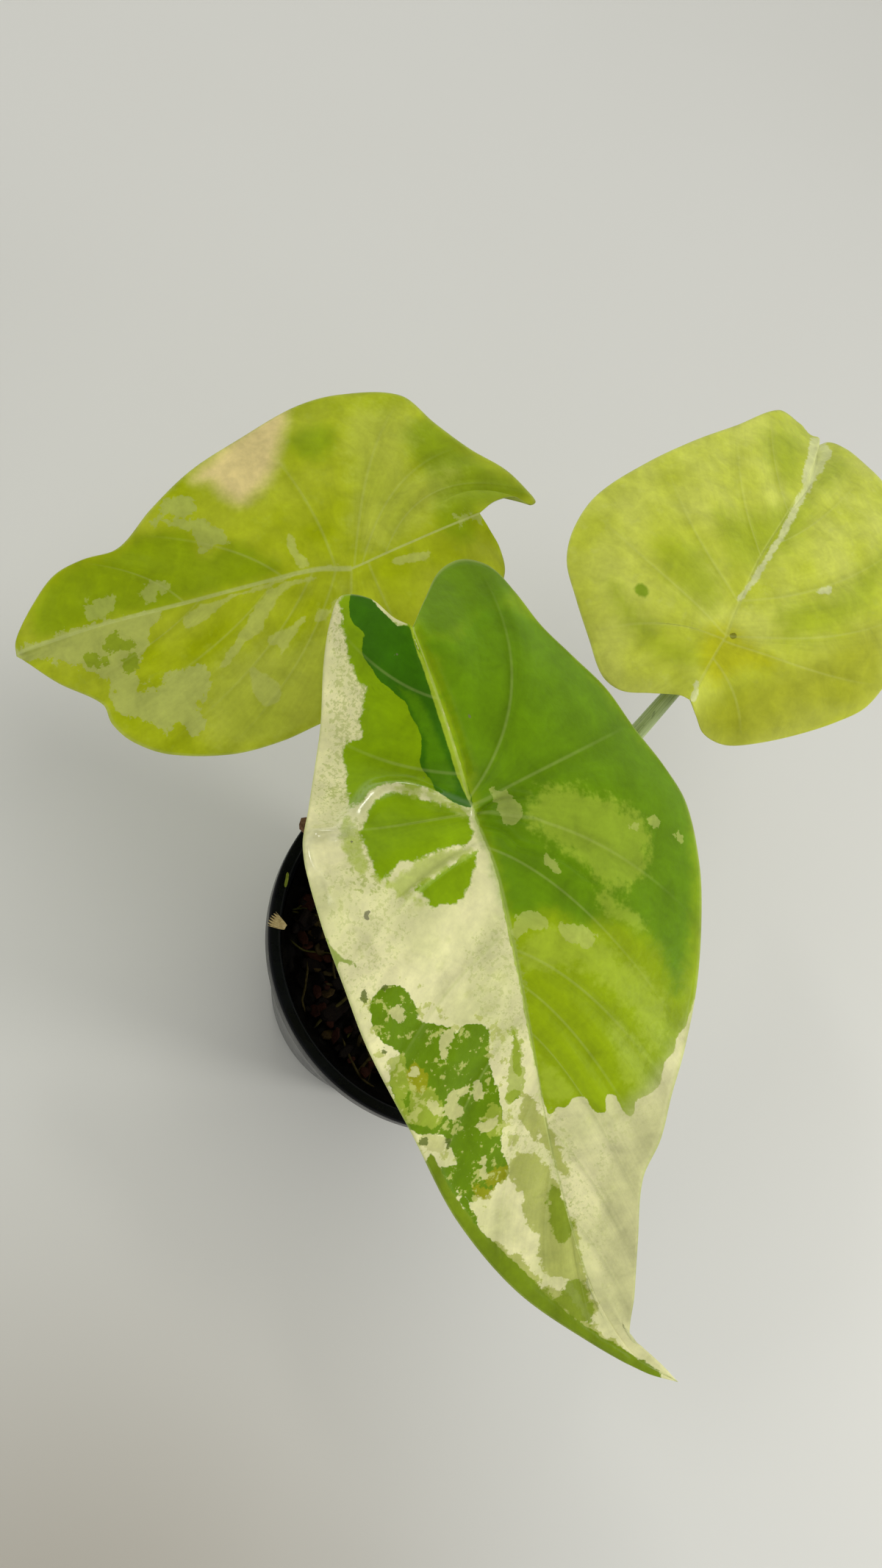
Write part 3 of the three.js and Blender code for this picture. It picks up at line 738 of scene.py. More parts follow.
def leaf_relief(tree, patterns):
    """The bump of a leaf, which rises sharply at a sharp crease, and the share of its glossy wax there."""
    settings = {0: patterns["streaks"], 1: 0.5, 2: patterns["fine"]}
    height = node(tree, "ShaderNodeMath", settings, operation="MULTIPLY_ADD").outputs[0]
    settings = {0: patterns["cloud"], 1: 6, 2: height}
    height = node(tree, "ShaderNodeMath", settings, operation="MULTIPLY_ADD").outputs[0]
    from_crease = node(tree, "ShaderNodeAttribute", attribute_name="crease").outputs["Fac"]
    settings = {"Value": from_crease, "From Min": 1.3, "From Max": 0.1, "To Max": 2.0}
    ridge = node(tree, "ShaderNodeMapRange", settings, interpolation_type="SMOOTHSTEP").outputs[0]
    height = node(tree, "ShaderNodeMath", {0: height, 1: ridge}, operation="ADD").outputs[0]
    bump = node(tree, "ShaderNodeBump", {"Height": height, "Strength": 0.4, "Distance": 0.2 * MM}).outputs[0]
    settings = {"Value": from_crease, "From Min": 2.4, "From Max": 0.6}
    gloss = node(tree, "ShaderNodeMapRange", settings).outputs[0]
    return bump, gloss


def leaf_skin(name, look, zones, under=False):
    """The skin of a blade's upper or lower face."""
    material, tree = new_material(name)
    patterns = leaf_patterns(tree)
    colour = painted(tree, look, zones, patterns)
    colour = veined(tree, colour, look)
    colour = toned_with_painted_shade(tree, colour, look, patterns)
    if under:
        settings = {0: UNDER_BLOOM, 6: colour, 7: linear(look["under"])}
        colour = node(tree, "ShaderNodeMix", settings, data_type="RGBA").outputs[2]
    bump, gloss = leaf_relief(tree, patterns)
    surface = node(tree, "ShaderNodeBsdfPrincipled", {
        "Base Color": colour, "Normal": bump, "Roughness": UNDER_ROUGHNESS if under else look["roughness"],
        "IOR": 1.42, "Specular IOR Level": 0.12, "Coat Weight": gloss, "Coat Roughness": 0.15,
    })
    through = node(tree, "ShaderNodeBsdfTranslucent", {"Color": colour, "Normal": bump})
    settings = {0: GLOW, 1: surface.outputs[0], 2: through.outputs[0]}
    return finished(material, node(tree, "ShaderNodeMixShader", settings))


# %% [markdown]
# ## The front leaf
#
# The front leaf is the showpiece: cream on one side of the midrib and green on the other. The border runs
# down the midrib as if drawn with a ruler, because each side grew from its own line of cells. Toward the tip
# the green side turns cream as well. On the cream side lies a large mottled patch of deep green with cream
# holes, and behind the joint the lobes are green, with a band of painted shade along a fold. Fine green
# freckles lie on the cream, so faint that they are drawn as dusty zones. Toward the lower right edge the
# cream is darkened by painted shade, where the blade turns away from the light. Round the joint the blade
# is puckered by sharp creases.

# %% Colours of the front leaf
CREAM = "#ECE8B0"

FRONT_ZONES = [
    {"name": "green_half", "colour": "#98B008", "soft": 0.12, "ragged": 0.25, "outlines": [
        [(642, 1100), (656, 1135), (668, 1165), (677, 1195), (685, 1240), (695, 1285), (707, 1340),
         (718, 1400), (729, 1450), (739, 1498), (747, 1517), (757, 1507), (772, 1507), (779, 1494),
         (797, 1492), (804, 1507), (817, 1515), (826, 1511), (824, 1490), (838, 1490), (847, 1511),
         (859, 1519), (865, 1511), (863, 1496), (880, 1490), (897, 1477), (905, 1444), (917, 1430),
         (922, 1407), (932, 1398), (945, 1360), (990, 1300), (990, 1000), (820, 780), (700, 720), (600, 730),
         (545, 810), (556, 850), (570, 885), (583, 920), (598, 955), (608, 985), (618, 1015), (628, 1045),
         (637, 1075)],
    ]},
    {"name": "lobe_speckle", "colour": "#A3AF4E", "soft": 0.8, "ragged": 2.4,
     "cover": 0.5, "depth": -0.2, "dusty": True, "outlines": [
        [(460, 790), (452, 850), (458, 900), (450, 960), (455, 1010), (440, 1060), (455, 1090), (478, 1080),
         (500, 1010), (500, 900), (480, 800)],
        [(470, 1120), (490, 1120), (510, 1160), (520, 1200), (500, 1215), (480, 1180)],
    ]},
    {"name": "cream_freckles", "colour": "#A9B45C", "soft": 0.6, "ragged": 2.2,
     "cover": 0.38, "depth": -0.7, "dusty": True, "outlines": [
        [(434, 1075), (462, 1082), (466, 1116), (448, 1124), (432, 1110)],
        [(450, 1190), (520, 1200), (560, 1240), (520, 1330), (500, 1380), (466, 1300)],
        [(640, 1290), (690, 1260), (715, 1400), (690, 1440), (660, 1380)],
        [(820, 1560), (900, 1500), (890, 1800), (830, 1760)],
        [(690, 1500), (760, 1520), (800, 1700), (700, 1600)],
    ]},
    # Painted shade: the cream is darker toward the lower right edge, where the blade turns away from the
    # light.
    {"name": "cream_painted_shade", "colour": "#CBCA90", "soft": 6, "ragged": 0.8, "cover": 0.85, "outlines": [
        [(830, 1560), (870, 1500), (920, 1440), (960, 1380), (940, 1560), (900, 1700), (890, 1850),
         (830, 1790), (812, 1680)],
    ]},
    {"name": "lobe_green", "colour": "#87A800", "soft": 0.5, "ragged": 1.0, "outlines": [
        [(465, 800), (464, 830), (468, 860), (476, 895), (483, 920), (496, 942), (496, 960), (490, 982),
         (492, 1003), (472, 1008), (470, 1040), (472, 1068), (477, 1100), (492, 1090), (506, 1074),
         (540, 1068), (575, 1074), (600, 1080), (640, 1100), (637, 1075), (618, 1015), (598, 955),
         (583, 920), (560, 860), (520, 835), (490, 790)],
        [(494, 1120), (505, 1100), (515, 1086), (532, 1077), (556, 1080), (585, 1088), (610, 1096),
         (632, 1106), (641, 1128), (637, 1150), (606, 1152), (585, 1162), (561, 1171), (537, 1179),
         (528, 1199), (513, 1192), (505, 1171), (496, 1152), (489, 1138)],
        [(652, 1156), (646, 1170), (641, 1192), (633, 1212), (614, 1229), (600, 1232), (585, 1236),
         (580, 1222), (562, 1211), (570, 1202), (590, 1192), (619, 1172), (640, 1160)],
    ]},
    {"name": "lobe_pale", "colour": "#AEBE48", "soft": 0.9, "ragged": 1.2, "cover": 0.7, "outlines": [
        [(530, 1068), (560, 1066), (590, 1074), (625, 1088), (642, 1102), (634, 1108), (600, 1094),
         (570, 1084), (540, 1077)],
        [(500, 1185), (528, 1200), (560, 1178), (600, 1160), (640, 1152), (648, 1158), (620, 1172),
         (585, 1196), (560, 1212), (576, 1228), (560, 1225), (535, 1212)],
        [(470, 1110), (486, 1130), (500, 1180), (490, 1190), (472, 1160), (462, 1130)],
    ]},
    {"name": "lobe_deep", "colour": "#3C7000", "soft": 0.1, "ragged": 0.22, "outlines": [
        [(477, 808), (476, 835), (482, 850), (496, 862), (493, 872), (493, 888), (500, 902), (510, 916),
         (519, 929), (534, 938), (538, 946), (553, 957), (557, 970), (566, 984), (573, 1000), (574, 1020),
         (571, 1038), (577, 1052), (588, 1064), (592, 1075), (642, 1098), (628, 1045), (618, 1015),
         (598, 955), (583, 920), (570, 885), (556, 853), (540, 850), (510, 820), (490, 800)],
    ]},
    # Painted shade: a darker band along the valley fold behind the joint.
    {"name": "lobe_fold_painted_shade", "colour": "#5E9000", "soft": 1.0, "ragged": 0.3, "cover": 0.8, "outlines": [
        [(540, 935), (570, 950), (590, 990), (606, 1030), (622, 1070), (615, 1078), (592, 1068), (580, 1050),
         (580, 1010), (566, 980), (555, 955)],
    ]},
    {"name": "lobe_shade", "colour": "#4F7C00", "soft": 4, "ragged": 0.3, "cover": 0.75, "outlines": [
        [(560, 845), (580, 870), (620, 866), (650, 845), (690, 820), (715, 790), (690, 750), (650, 728),
         (600, 735), (560, 780)],
    ]},
    {"name": "green_shade", "colour": "#608A00", "soft": 3.5, "ragged": 1.0, "cover": 0.9, "outlines": [
        [(645, 1100), (640, 1060), (622, 1005), (605, 950), (588, 905), (575, 868), (620, 862), (660, 820),
         (720, 830), (790, 890), (870, 990), (930, 1060), (948, 1150), (945, 1260), (920, 1350), (895, 1290),
         (860, 1262), (820, 1250), (790, 1262), (750, 1240), (712, 1250), (690, 1240), (668, 1160)],
    ]},
    {"name": "green_veil", "colour": "#AFC23C", "soft": 1.8, "ragged": 2.0, "cover": 0.5, "outlines": [
        [(735, 1074), (790, 1074), (835, 1090), (875, 1118), (884, 1160), (856, 1204), (815, 1198),
         (785, 1165), (750, 1142), (716, 1112)],
        [(830, 1215), (880, 1262), (862, 1262), (815, 1230)],
        [(715, 1275), (740, 1262), (800, 1272), (850, 1310), (895, 1345), (905, 1400), (890, 1430),
         (862, 1380), (830, 1348), (780, 1315), (712, 1318)],
        [(830, 1390), (850, 1400), (885, 1450), (870, 1480), (850, 1470)],
        [(735, 1440), (760, 1460), (780, 1490), (745, 1500)],
    ]},
    {"name": "green_flecks", "colour": "#B8C262", "soft": 0.12, "ragged": 1.1, "cover": 0.6, "outlines": [
        [(700, 1252), (722, 1240), (745, 1250), (742, 1262), (715, 1268), (702, 1280)],
        [(760, 1256), (790, 1262), (812, 1275), (800, 1290), (770, 1280)],
        [(668, 1076), (690, 1080), (712, 1100), (706, 1118), (690, 1122), (676, 1105)],
        [(884, 1112), (898, 1114), (900, 1126), (888, 1126)],
        [(852, 1120), (864, 1120), (866, 1130), (854, 1130)],
        [(912, 1134), (924, 1134), (926, 1142), (914, 1142)],
        [(740, 1165), (765, 1180), (760, 1186), (742, 1176)],
    ]},
    {"name": "mottle_deep", "colour": "#688A00", "soft": 0.15, "ragged": 0.7, "outlines": [
        [(511, 1352), (524, 1343), (550, 1341), (558, 1356), (569, 1376), (568, 1388), (590, 1392),
         (613, 1398), (622, 1406), (632, 1394), (647, 1391), (664, 1400), (664, 1430), (668, 1452),
         (676, 1477), (683, 1500), (684, 1523), (682, 1557), (692, 1582), (692, 1598), (672, 1615),
         (660, 1630), (647, 1625), (640, 1640), (630, 1625), (612, 1608), (598, 1590), (622, 1582),
         (613, 1562), (601, 1545), (567, 1544), (552, 1530), (542, 1512), (534, 1490), (530, 1465),
         (540, 1448), (545, 1434), (526, 1423), (513, 1407), (503, 1377)],
        [(597, 1594), (606, 1600), (618, 1612), (624, 1628), (612, 1624), (600, 1608)],
        [(626, 1628), (636, 1630), (642, 1648), (630, 1645)],
        [(632, 1648), (642, 1648), (650, 1662), (648, 1676), (636, 1671)],
        [(698, 1402), (704, 1412), (708, 1432), (706, 1462), (699, 1455), (698, 1430)],
        [(686, 1490), (700, 1480), (706, 1490), (694, 1500)],
    ]},
    {"name": "mottle_light", "colour": "#A2B23A", "soft": 0.2, "ragged": 1.2, "cover": 0.75, "outlines": [
        [(530, 1440), (548, 1436), (556, 1470), (552, 1500), (560, 1530), (545, 1520), (534, 1490)],
        [(560, 1484), (585, 1480), (600, 1495), (600, 1530), (575, 1535), (560, 1520)],
        [(699, 1396), (707, 1410), (712, 1448), (712, 1473), (703, 1492), (690, 1502), (685, 1488),
         (690, 1472), (695, 1440)],
        [(664, 1500), (680, 1500), (684, 1525), (680, 1545), (664, 1548), (658, 1525)],
    ]},
    {"name": "mottle_yellow", "colour": "#9C9C10", "soft": 0.3, "ragged": 1.2, "cover": 0.8, "outlines": [
        [(556, 1452), (562, 1446), (574, 1450), (584, 1462), (578, 1484), (564, 1482), (556, 1468)],
        [(660, 1602), (672, 1590), (690, 1580), (692, 1596), (674, 1612), (664, 1612)],
        [(645, 1612), (664, 1616), (670, 1622), (662, 1632), (648, 1626)],
    ]},
    {"name": "mottle_flecks", "colour": "#BCC268", "soft": 0.3, "ragged": 2.0,
     "cover": 0.85, "depth": -0.9, "outlines": [
        [(505, 1345), (560, 1335), (600, 1385), (670, 1395), (690, 1500), (700, 1590), (660, 1640),
         (650, 1690), (600, 1620), (540, 1520), (520, 1440), (498, 1380)],
    ]},
    {"name": "mottle_holes", "colour": "#CBCB86", "soft": 0.12, "ragged": 0.9, "cover": 0.9, "outlines": [
        [(642, 1480), (649, 1469), (655, 1474), (657, 1491), (644, 1495)],
        [(610, 1490), (620, 1484), (622, 1500), (629, 1512), (616, 1522), (606, 1518), (605, 1502)],
        [(598, 1412), (616, 1400), (618, 1412), (607, 1426), (612, 1440), (600, 1442), (596, 1428)],
        [(656, 1574), (661, 1574), (661, 1603), (657, 1603)],
        [(533, 1374), (545, 1366), (552, 1384), (548, 1392), (536, 1388)],
        [(558, 1454), (564, 1450), (572, 1456), (568, 1464), (560, 1464)],
        [(584, 1500), (594, 1498), (600, 1512), (592, 1518), (584, 1510)],
        [(650, 1528), (668, 1526), (678, 1512), (676, 1528), (662, 1540), (652, 1538)],
        [(626, 1480), (634, 1478), (636, 1486), (628, 1488)],
        [(570, 1546), (590, 1544), (606, 1546), (600, 1566), (580, 1562)],
    ]},
    {"name": "olive", "colour": "#ABB250", "soft": 0.35, "ragged": 1.2, "cover": 0.85, "outlines": [
        [(697, 1569), (730, 1573), (755, 1602), (772, 1636), (788, 1682), (790, 1707), (797, 1740),
         (813, 1782), (809, 1794), (797, 1777), (788, 1757), (772, 1740), (747, 1736), (734, 1711),
         (730, 1677), (713, 1652), (709, 1623), (692, 1598)],
        [(661, 1690), (705, 1707), (726, 1732), (734, 1748), (755, 1752), (775, 1760), (788, 1780),
         (801, 1800), (830, 1822), (860, 1850), (880, 1880), (800, 1850), (730, 1790), (680, 1740),
         (640, 1695)],
        [(713, 1490), (730, 1507), (734, 1544), (726, 1552), (717, 1540), (709, 1515)],
        [(735, 1512), (745, 1530), (765, 1570), (775, 1600), (765, 1600), (748, 1570), (736, 1540)],
    ]},
    {"name": "olive_deep", "colour": "#839717", "soft": 0.35, "ragged": 1.2, "cover": 0.9, "outlines": [
        [(752, 1612), (766, 1624), (777, 1652), (780, 1674), (764, 1690), (752, 1682), (745, 1655),
         (747, 1630)],
        [(770, 1745), (788, 1740), (800, 1762), (808, 1790), (800, 1800), (780, 1790), (762, 1775)],
        [(722, 1745), (745, 1755), (775, 1790), (800, 1812), (770, 1805), (735, 1772)],
    ]},
    {"name": "margin", "colour": "#788F0C", "soft": 0.15, "ragged": 0.4, "outlines": [
        [(586, 1568), (604, 1602), (630, 1642), (662, 1682), (698, 1714), (740, 1758), (780, 1792),
         (822, 1820), (865, 1846), (900, 1868), (880, 1885), (800, 1860), (720, 1800), (640, 1710),
         (576, 1610)],
    ]},
    {"name": "dark_specks", "colour": "#5A6A1E", "soft": 0.08, "ragged": 1.0, "cover": 0.85, "outlines": [
        [(492, 1343), (498, 1345), (498, 1361), (493, 1360)],
        [(518, 1340), (526, 1341), (524, 1346), (518, 1345)],
        [(520, 1425), (526, 1424), (528, 1431), (522, 1431)],
        [(572, 1549), (578, 1552), (580, 1558), (574, 1556)],
        [(608, 1548), (612, 1552), (610, 1560), (606, 1556)],
    ]},
    {"name": "suture_line", "colour": "#A5BE2A", "soft": 0.16, "ragged": 0.12, "outlines": [
        [(558, 850), (561, 852), (566, 878), (577, 900), (586, 925), (597, 950), (607, 980), (617, 1010),
         (627, 1040), (635, 1065), (641, 1090), (637, 1088), (629, 1072), (620, 1050), (612, 1022),
         (602, 992), (592, 960), (583, 932), (575, 907), (565, 880)],
    ]},
    {"name": "edge_green", "colour": "#8FA53A", "soft": 0.15, "ragged": 0.3, "cover": 0.85, "outlines": [
        [(443, 1266), (450, 1284), (461, 1299), (479, 1307), (493, 1321), (478, 1315), (462, 1308),
         (456, 1320), (448, 1302)],
    ]},
    {"name": "brown_marks", "colour": "#6E6F50", "soft": 0.08, "ragged": 0.3, "cover": 0.8, "outlines": [
        [(897, 1212), (920, 1213), (921, 1216), (905, 1215)],
        [(637, 972), (641, 972), (641, 976), (637, 976)],
        [(573, 1053), (578, 1051), (579, 1059), (575, 1059)],
        [(537, 889), (540, 889), (540, 892), (537, 892)],
        [(478, 1144), (481, 1144), (481, 1147), (478, 1147)],
        [(497, 1240), (502, 1238), (505, 1241), (501, 1245), (504, 1250), (498, 1252), (495, 1246)],
    ]},
]
# Each look's valley value is painted shade: the tone beside a vein falls to it.
FRONT_LOOK = {
    "ground": CREAM, "ground_cloud": "#DADA9C", "vein": "#C2CE78", "rib_strength": 0.4, "under": "#B9C08A",
    "painted_valley_shade": 0.93, "roughness": 0.4, "speckle": "#BFC56A", "speckle_share": 0.3,
}

# The creases are lines in the photograph, with a height and a width in millimetres.
FRONT_CREASES = [
    {"height": 1.1, "width": 2.0, "path": [
        (455, 1146), (470, 1136), (482, 1120), (498, 1096), (512, 1080), (530, 1073), (555, 1074),
        (585, 1083), (612, 1092), (636, 1102)
    ]},
    {"height": 0.75, "width": 1.1, "path": [
        (428, 1131), (442, 1130), (456, 1127), (470, 1114), (486, 1094), (502, 1074), (520, 1068),
        (545, 1067), (565, 1071), (590, 1083)
    ]},
    {"height": -0.8, "width": 1.0, "path": [(650, 1106), (668, 1092), (690, 1084), (712, 1084)]},
    {"height": -0.6, "width": 1.0, "path": [
        (655, 1122), (685, 1130), (705, 1150), (760, 1166), (805, 1198)
    ]},
    {"height": 0.6, "width": 1.2, "path": [(668, 1108), (700, 1104), (730, 1122)]},
    {"height": 0.8, "width": 1.0, "path": [(421, 1142), (419, 1160), (426, 1182), (438, 1200), (446, 1222)]},
    {"height": 0.7, "width": 0.9, "path": [(548, 1225), (580, 1196), (612, 1174), (645, 1156)]},
    {"height": 0.5, "width": 0.7, "path": [(486, 941), (510, 937), (540, 941)]},
    {"height": -0.7, "width": 1.1, "path": [(566, 858), (585, 900), (604, 948), (622, 1000), (636, 1050)]},
    {"height": 0.6, "width": 0.8, "path": [
        (596, 1594), (620, 1640), (655, 1685), (690, 1722), (735, 1766), (790, 1808), (850, 1846)
    ]},
]

# %% [markdown]
# ## The left leaf
#
# The left leaf is lime green. Cream runs along the underside of its midrib and in long streaks beside its
# veins, and a warm pink-cream patch lies at its upper edge. A band of painted shade darkens the valley
# along the upper side of its midrib.

# %% Colours of the left leaf
LEFT_ZONES = [
    # Deeper green: clouds of pigment, and in the first outline painted shade in the valley along the midrib.
    {"name": "deeper_and_painted_shade", "colour": "#8DA502", "soft": 2.5, "ragged": 0.8, "cover": 0.8, "outlines": [
        [(45, 838), (68, 793), (100, 770), (150, 756), (182, 734), (205, 725), (255, 725), (273, 756),
         (318, 738), (355, 756), (382, 775), (318, 797), (245, 820), (218, 829), (136, 843), (55, 870)],
        [(391, 593), (409, 584), (436, 579), (455, 588), (450, 611), (427, 625), (400, 615)],
        [(545, 590), (580, 570), (640, 620), (720, 670), (650, 690), (640, 740), (600, 720), (580, 650)],
    ]},
    {"name": "light_middle", "colour": "#BDC54E", "soft": 4, "ragged": 1.6, "cover": 0.5, "outlines": [
        [(470, 570), (520, 550), (560, 570), (560, 640), (620, 640), (600, 680), (540, 740), (490, 740),
         (480, 660)],
        [(300, 900), (440, 860), (470, 800), (490, 860), (440, 980), (330, 1020), (280, 1000)],
    ]},
    {"name": "pink_cream", "colour": "#EBD794", "soft": 3.2, "ragged": 0.4, "cover": 0.95, "outlines": [
        [(262, 652), (285, 628), (310, 602), (345, 575), (384, 552), (388, 572), (382, 597), (376, 620),
         (370, 643), (358, 660), (327, 684), (304, 672), (285, 655)],
    ]},
    {"name": "cream_tip", "colour": "#B9C064", "soft": 0.2, "ragged": 1.4, "cover": 0.85, "outlines": [
        [(18, 888), (45, 876), (82, 863), (136, 847), (182, 838), (218, 831), (216, 843), (200, 870),
         (195, 897), (186, 915), (195, 929), (159, 956), (150, 929), (114, 911), (68, 897), (27, 897)],
        [(150, 938), (200, 938), (218, 931), (236, 915), (259, 906), (277, 906), (289, 925), (273, 956),
         (277, 997), (255, 997), (241, 984), (223, 1000), (200, 979), (182, 975), (160, 970)],
    ]},
    {"name": "cream_islands", "colour": "#96A824", "soft": 0.15, "ragged": 1.2, "outlines": [
        [(141, 870), (159, 859), (166, 870), (182, 870), (177, 884), (155, 888), (145, 906), (139, 884)],
        [(165, 895), (185, 890), (190, 910), (170, 915)],
        [(115, 885), (130, 890), (135, 905), (118, 903)],
    ]},
    {"name": "streaks", "colour": "#C0C762", "soft": 0.25, "ragged": 0.5, "cover": 0.75, "outlines": [
        [(461, 768), (409, 781), (355, 802), (318, 811), (291, 834), (273, 847), (255, 854), (249, 845),
         (264, 829), (291, 818), (336, 804), (391, 784), (436, 772)],
        [(434, 788), (409, 793), (386, 806), (364, 838), (350, 865), (332, 875), (318, 897), (302, 911),
         (300, 902), (318, 875), (336, 847), (355, 815), (377, 797), (409, 786)],
        [(418, 838), (400, 865), (382, 893), (380, 879), (364, 875), (368, 865), (386, 856), (405, 845)],
        [(425, 847), (436, 829), (448, 829), (459, 811), (455, 825), (441, 843)],
        [(393, 727), (400, 729), (405, 747), (418, 761), (420, 770), (409, 772), (400, 761), (392, 747)],
        [(530, 763), (559, 754), (586, 751), (577, 761), (545, 768)],
        [(340, 905), (355, 915), (380, 930), (378, 955), (360, 960), (345, 940)],
    ]},
    {"name": "pale_patches", "colour": "#B2BC5C", "soft": 0.25, "ragged": 1.3, "cover": 0.75, "outlines": [
        [(205, 720), (209, 709), (236, 704), (264, 704), (291, 715), (309, 725), (309, 738), (291, 743),
         (273, 752), (268, 738), (255, 720), (236, 715), (223, 711)],
        [(227, 679), (245, 675), (264, 675), (264, 693), (259, 704), (227, 702), (218, 697)],
        [(193, 806), (200, 795), (214, 790), (223, 790), (227, 802), (218, 806), (205, 820), (193, 811)],
        [(618, 700), (636, 695), (652, 702), (655, 711), (636, 711), (623, 715)],
        [(118, 822), (135, 815), (150, 812), (155, 830), (140, 842), (122, 842)],
    ]},
]
LEFT_LOOK = {
    "ground": "#AAB800", "ground_cloud": "#B8C22A", "vein": "#C6CE78", "rib_strength": 0.7,
    "under": "#A9B56A", "painted_valley_shade": 0.96, "roughness": 0.45, "speckle": "#B6C33A", "speckle_share": 0.5,
}

# %% [markdown]
# ## The right leaf
#
# The right leaf is the palest, a yellow-green all over with deeper clouds in its middle. Only a small cream
# patch and the pale midrib stand out. Its lower lobes, which bend down away from the light, and bands along
# its folds are darkened by painted shade.

# %% Colours of the right leaf
RIGHT_ZONES = [
    # Painted shade: the lower lobes and a band along a fold, where the blade turns down away from the light.
    {"name": "lower_fold_painted_shade", "colour": "#A2A71A", "soft": 6, "ragged": 1, "cover": 0.8, "outlines": [
        [(960, 960), (1020, 925), (1100, 895), (1200, 850), (1200, 960), (1100, 1010), (1000, 1015),
         (955, 990)],
    ]},
    {"name": "deeper_and_painted_shade", "colour": "#9DAE10", "soft": 4, "ragged": 1.5, "cover": 0.65, "outlines": [
        [(1040, 590), (1090, 590), (1092, 640), (1077, 660), (1055, 640)],
        [(1127, 627), (1143, 623), (1152, 640), (1133, 657), (1110, 667)],
        [(975, 700), (1020, 700), (1100, 680), (1080, 740), (1030, 770), (1000, 770), (985, 740)],
        [(895, 740), (950, 740), (980, 790), (970, 830), (920, 800)],
        # Painted shade along a fold of the blade, where it bends away from the light.
        [(830, 790), (870, 830), (910, 870), (960, 900), (900, 890), (850, 850)],
        [(1060, 830), (1130, 810), (1200, 760), (1180, 830), (1080, 870)],
    ]},
    {"name": "yellow_heart", "colour": "#BDBE06", "soft": 3, "ragged": 0.8, "cover": 0.8, "outlines": [
        [(960, 860), (990, 850), (1030, 880), (1060, 905), (1010, 910), (970, 930), (955, 900)],
    ]},
    {"name": "cream_patch", "colour": "#D8DC98", "soft": 0.3, "ragged": 0.5, "outlines": [
        [(1103, 597), (1117, 598), (1132, 617), (1123, 630), (1117, 643), (1108, 653), (1103, 668),
         (1093, 668), (1092, 653), (1093, 637), (1100, 620)],
        [(1113, 802), (1128, 798), (1132, 805), (1118, 809)],
        [(948, 925), (951, 930), (945, 955), (940, 952)],
        [(1092, 662), (1100, 665), (1068, 728), (1036, 780), (1008, 819), (1001, 818), (1029, 776),
         (1060, 726)],
    ]},
    {"name": "green_spot", "colour": "#8CA620", "soft": 0.5, "ragged": 0.3, "outlines": [
        [(864, 800), (870, 794), (880, 798), (883, 808), (876, 812), (866, 808)],
    ]},
    {"name": "brown_marks", "colour": "#4A4A14", "soft": 0.08, "ragged": 0.1, "cover": 0.6, "outlines": [
        [(917, 785), (921, 785), (921, 789), (917, 789)],
        [(993, 863), (1000, 861), (1002, 867), (995, 869)],
    ]},
]
RIGHT_LOOK = {
    "ground": "#C6CF3E", "ground_cloud": "#D0D65C", "vein": "#D4DA82", "rib_strength": 0.2,
    "under": "#B4BF78", "painted_valley_shade": 0.97, "roughness": 0.45, "speckle": "#CFD56A", "speckle_share": 0.4,
}


# %% Build the three blades
def blade_of(name, leaf, look, zones, creases=()):
    """A blade with its own upper and lower skins, in place of the CAD's blade."""
    skins = [leaf_skin(name + "_skin", look, zones), leaf_skin(name + "_underskin", look, zones, under=True)]
    piece = build_blade(name, leaf, skins, zones, creases)
    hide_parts(name.replace("leaf", "blade"))


blade_of("leaf_front", FRONT_LEAF, FRONT_LOOK, FRONT_ZONES, FRONT_CREASES)
blade_of("leaf_left", LEFT_LEAF, LEFT_LOOK, LEFT_ZONES)
blade_of("leaf_right", RIGHT_LEAF, RIGHT_LOOK, RIGHT_ZONES)


# %% [markdown]
# ## The stalks
#
# A stalk of this plant is a smooth green rod that bends under its leaf. At its foot it widens into a sheath,
# an open sleeve that once wrapped the next leaf, so its cross-section has two thin lips there. A tube of
# rings along the CAD's own path gives the bend, and the lips are a change of each ring's radius.

# %% The skin of a stalk
def stalk_skin():
    """Smooth plant skin: satin, finely striped along its length, with small darker flecks."""
    material, tree = new_material("stalk_cuticle")
    place = node(tree, "ShaderNodeAttribute", attribute_name="round").outputs["Vector"]
    patterns = []
    for scale, detail in (((3.5, 3.5, 0.06), 4.0), ((1.2, 1.2, 0.35), 5.0)):
        along = node(tree, "ShaderNodeMapping", {"Vector": place, "Scale": scale}).outputs[0]
        settings = {"Vector": along, "Scale": 1.0, "Detail": detail}
        patterns.append(node(tree, "ShaderNodeTexNoise", settings).outputs["Fac"])
    stripes, flecks = patterns
    settings = {"Value": stripes, "From Min": 0.35, "From Max": 0.65}
    share = node(tree, "ShaderNodeMapRange", settings).outputs[0]
    settings = {0: share, 6: linear("#7F934C"), 7: linear("#A6B576")}
    colour = node(tree, "ShaderNodeMix", settings, data_type="RGBA").outputs[2]
    settings = {"Value": flecks, "From Min": 0.6, "From Max": 0.68, "To Max": 0.6}
    share = node(tree, "ShaderNodeMapRange", settings).outputs[0]
    settings = {0: share, 6: colour, 7: linear("#5C6B34")}
    colour = node(tree, "ShaderNodeMix", settings, data_type="RGBA").outputs[2]
    bump = node(tree, "ShaderNodeBump", {"Height": stripes, "Strength": 0.3, "Distance": 0.15 * MM})
    return finished(material, node(tree, "ShaderNodeBsdfPrincipled", {
        "Base Color": colour, "Normal": bump.outputs[0], "Roughness": 0.4, "IOR": 1.45, "Coat Weight": 0.2,
        "Subsurface Weight": 0.15, "Subsurface Radius": (1.0, 1.2, 0.5), "Subsurface Scale": 1.5 * MM,
    }))


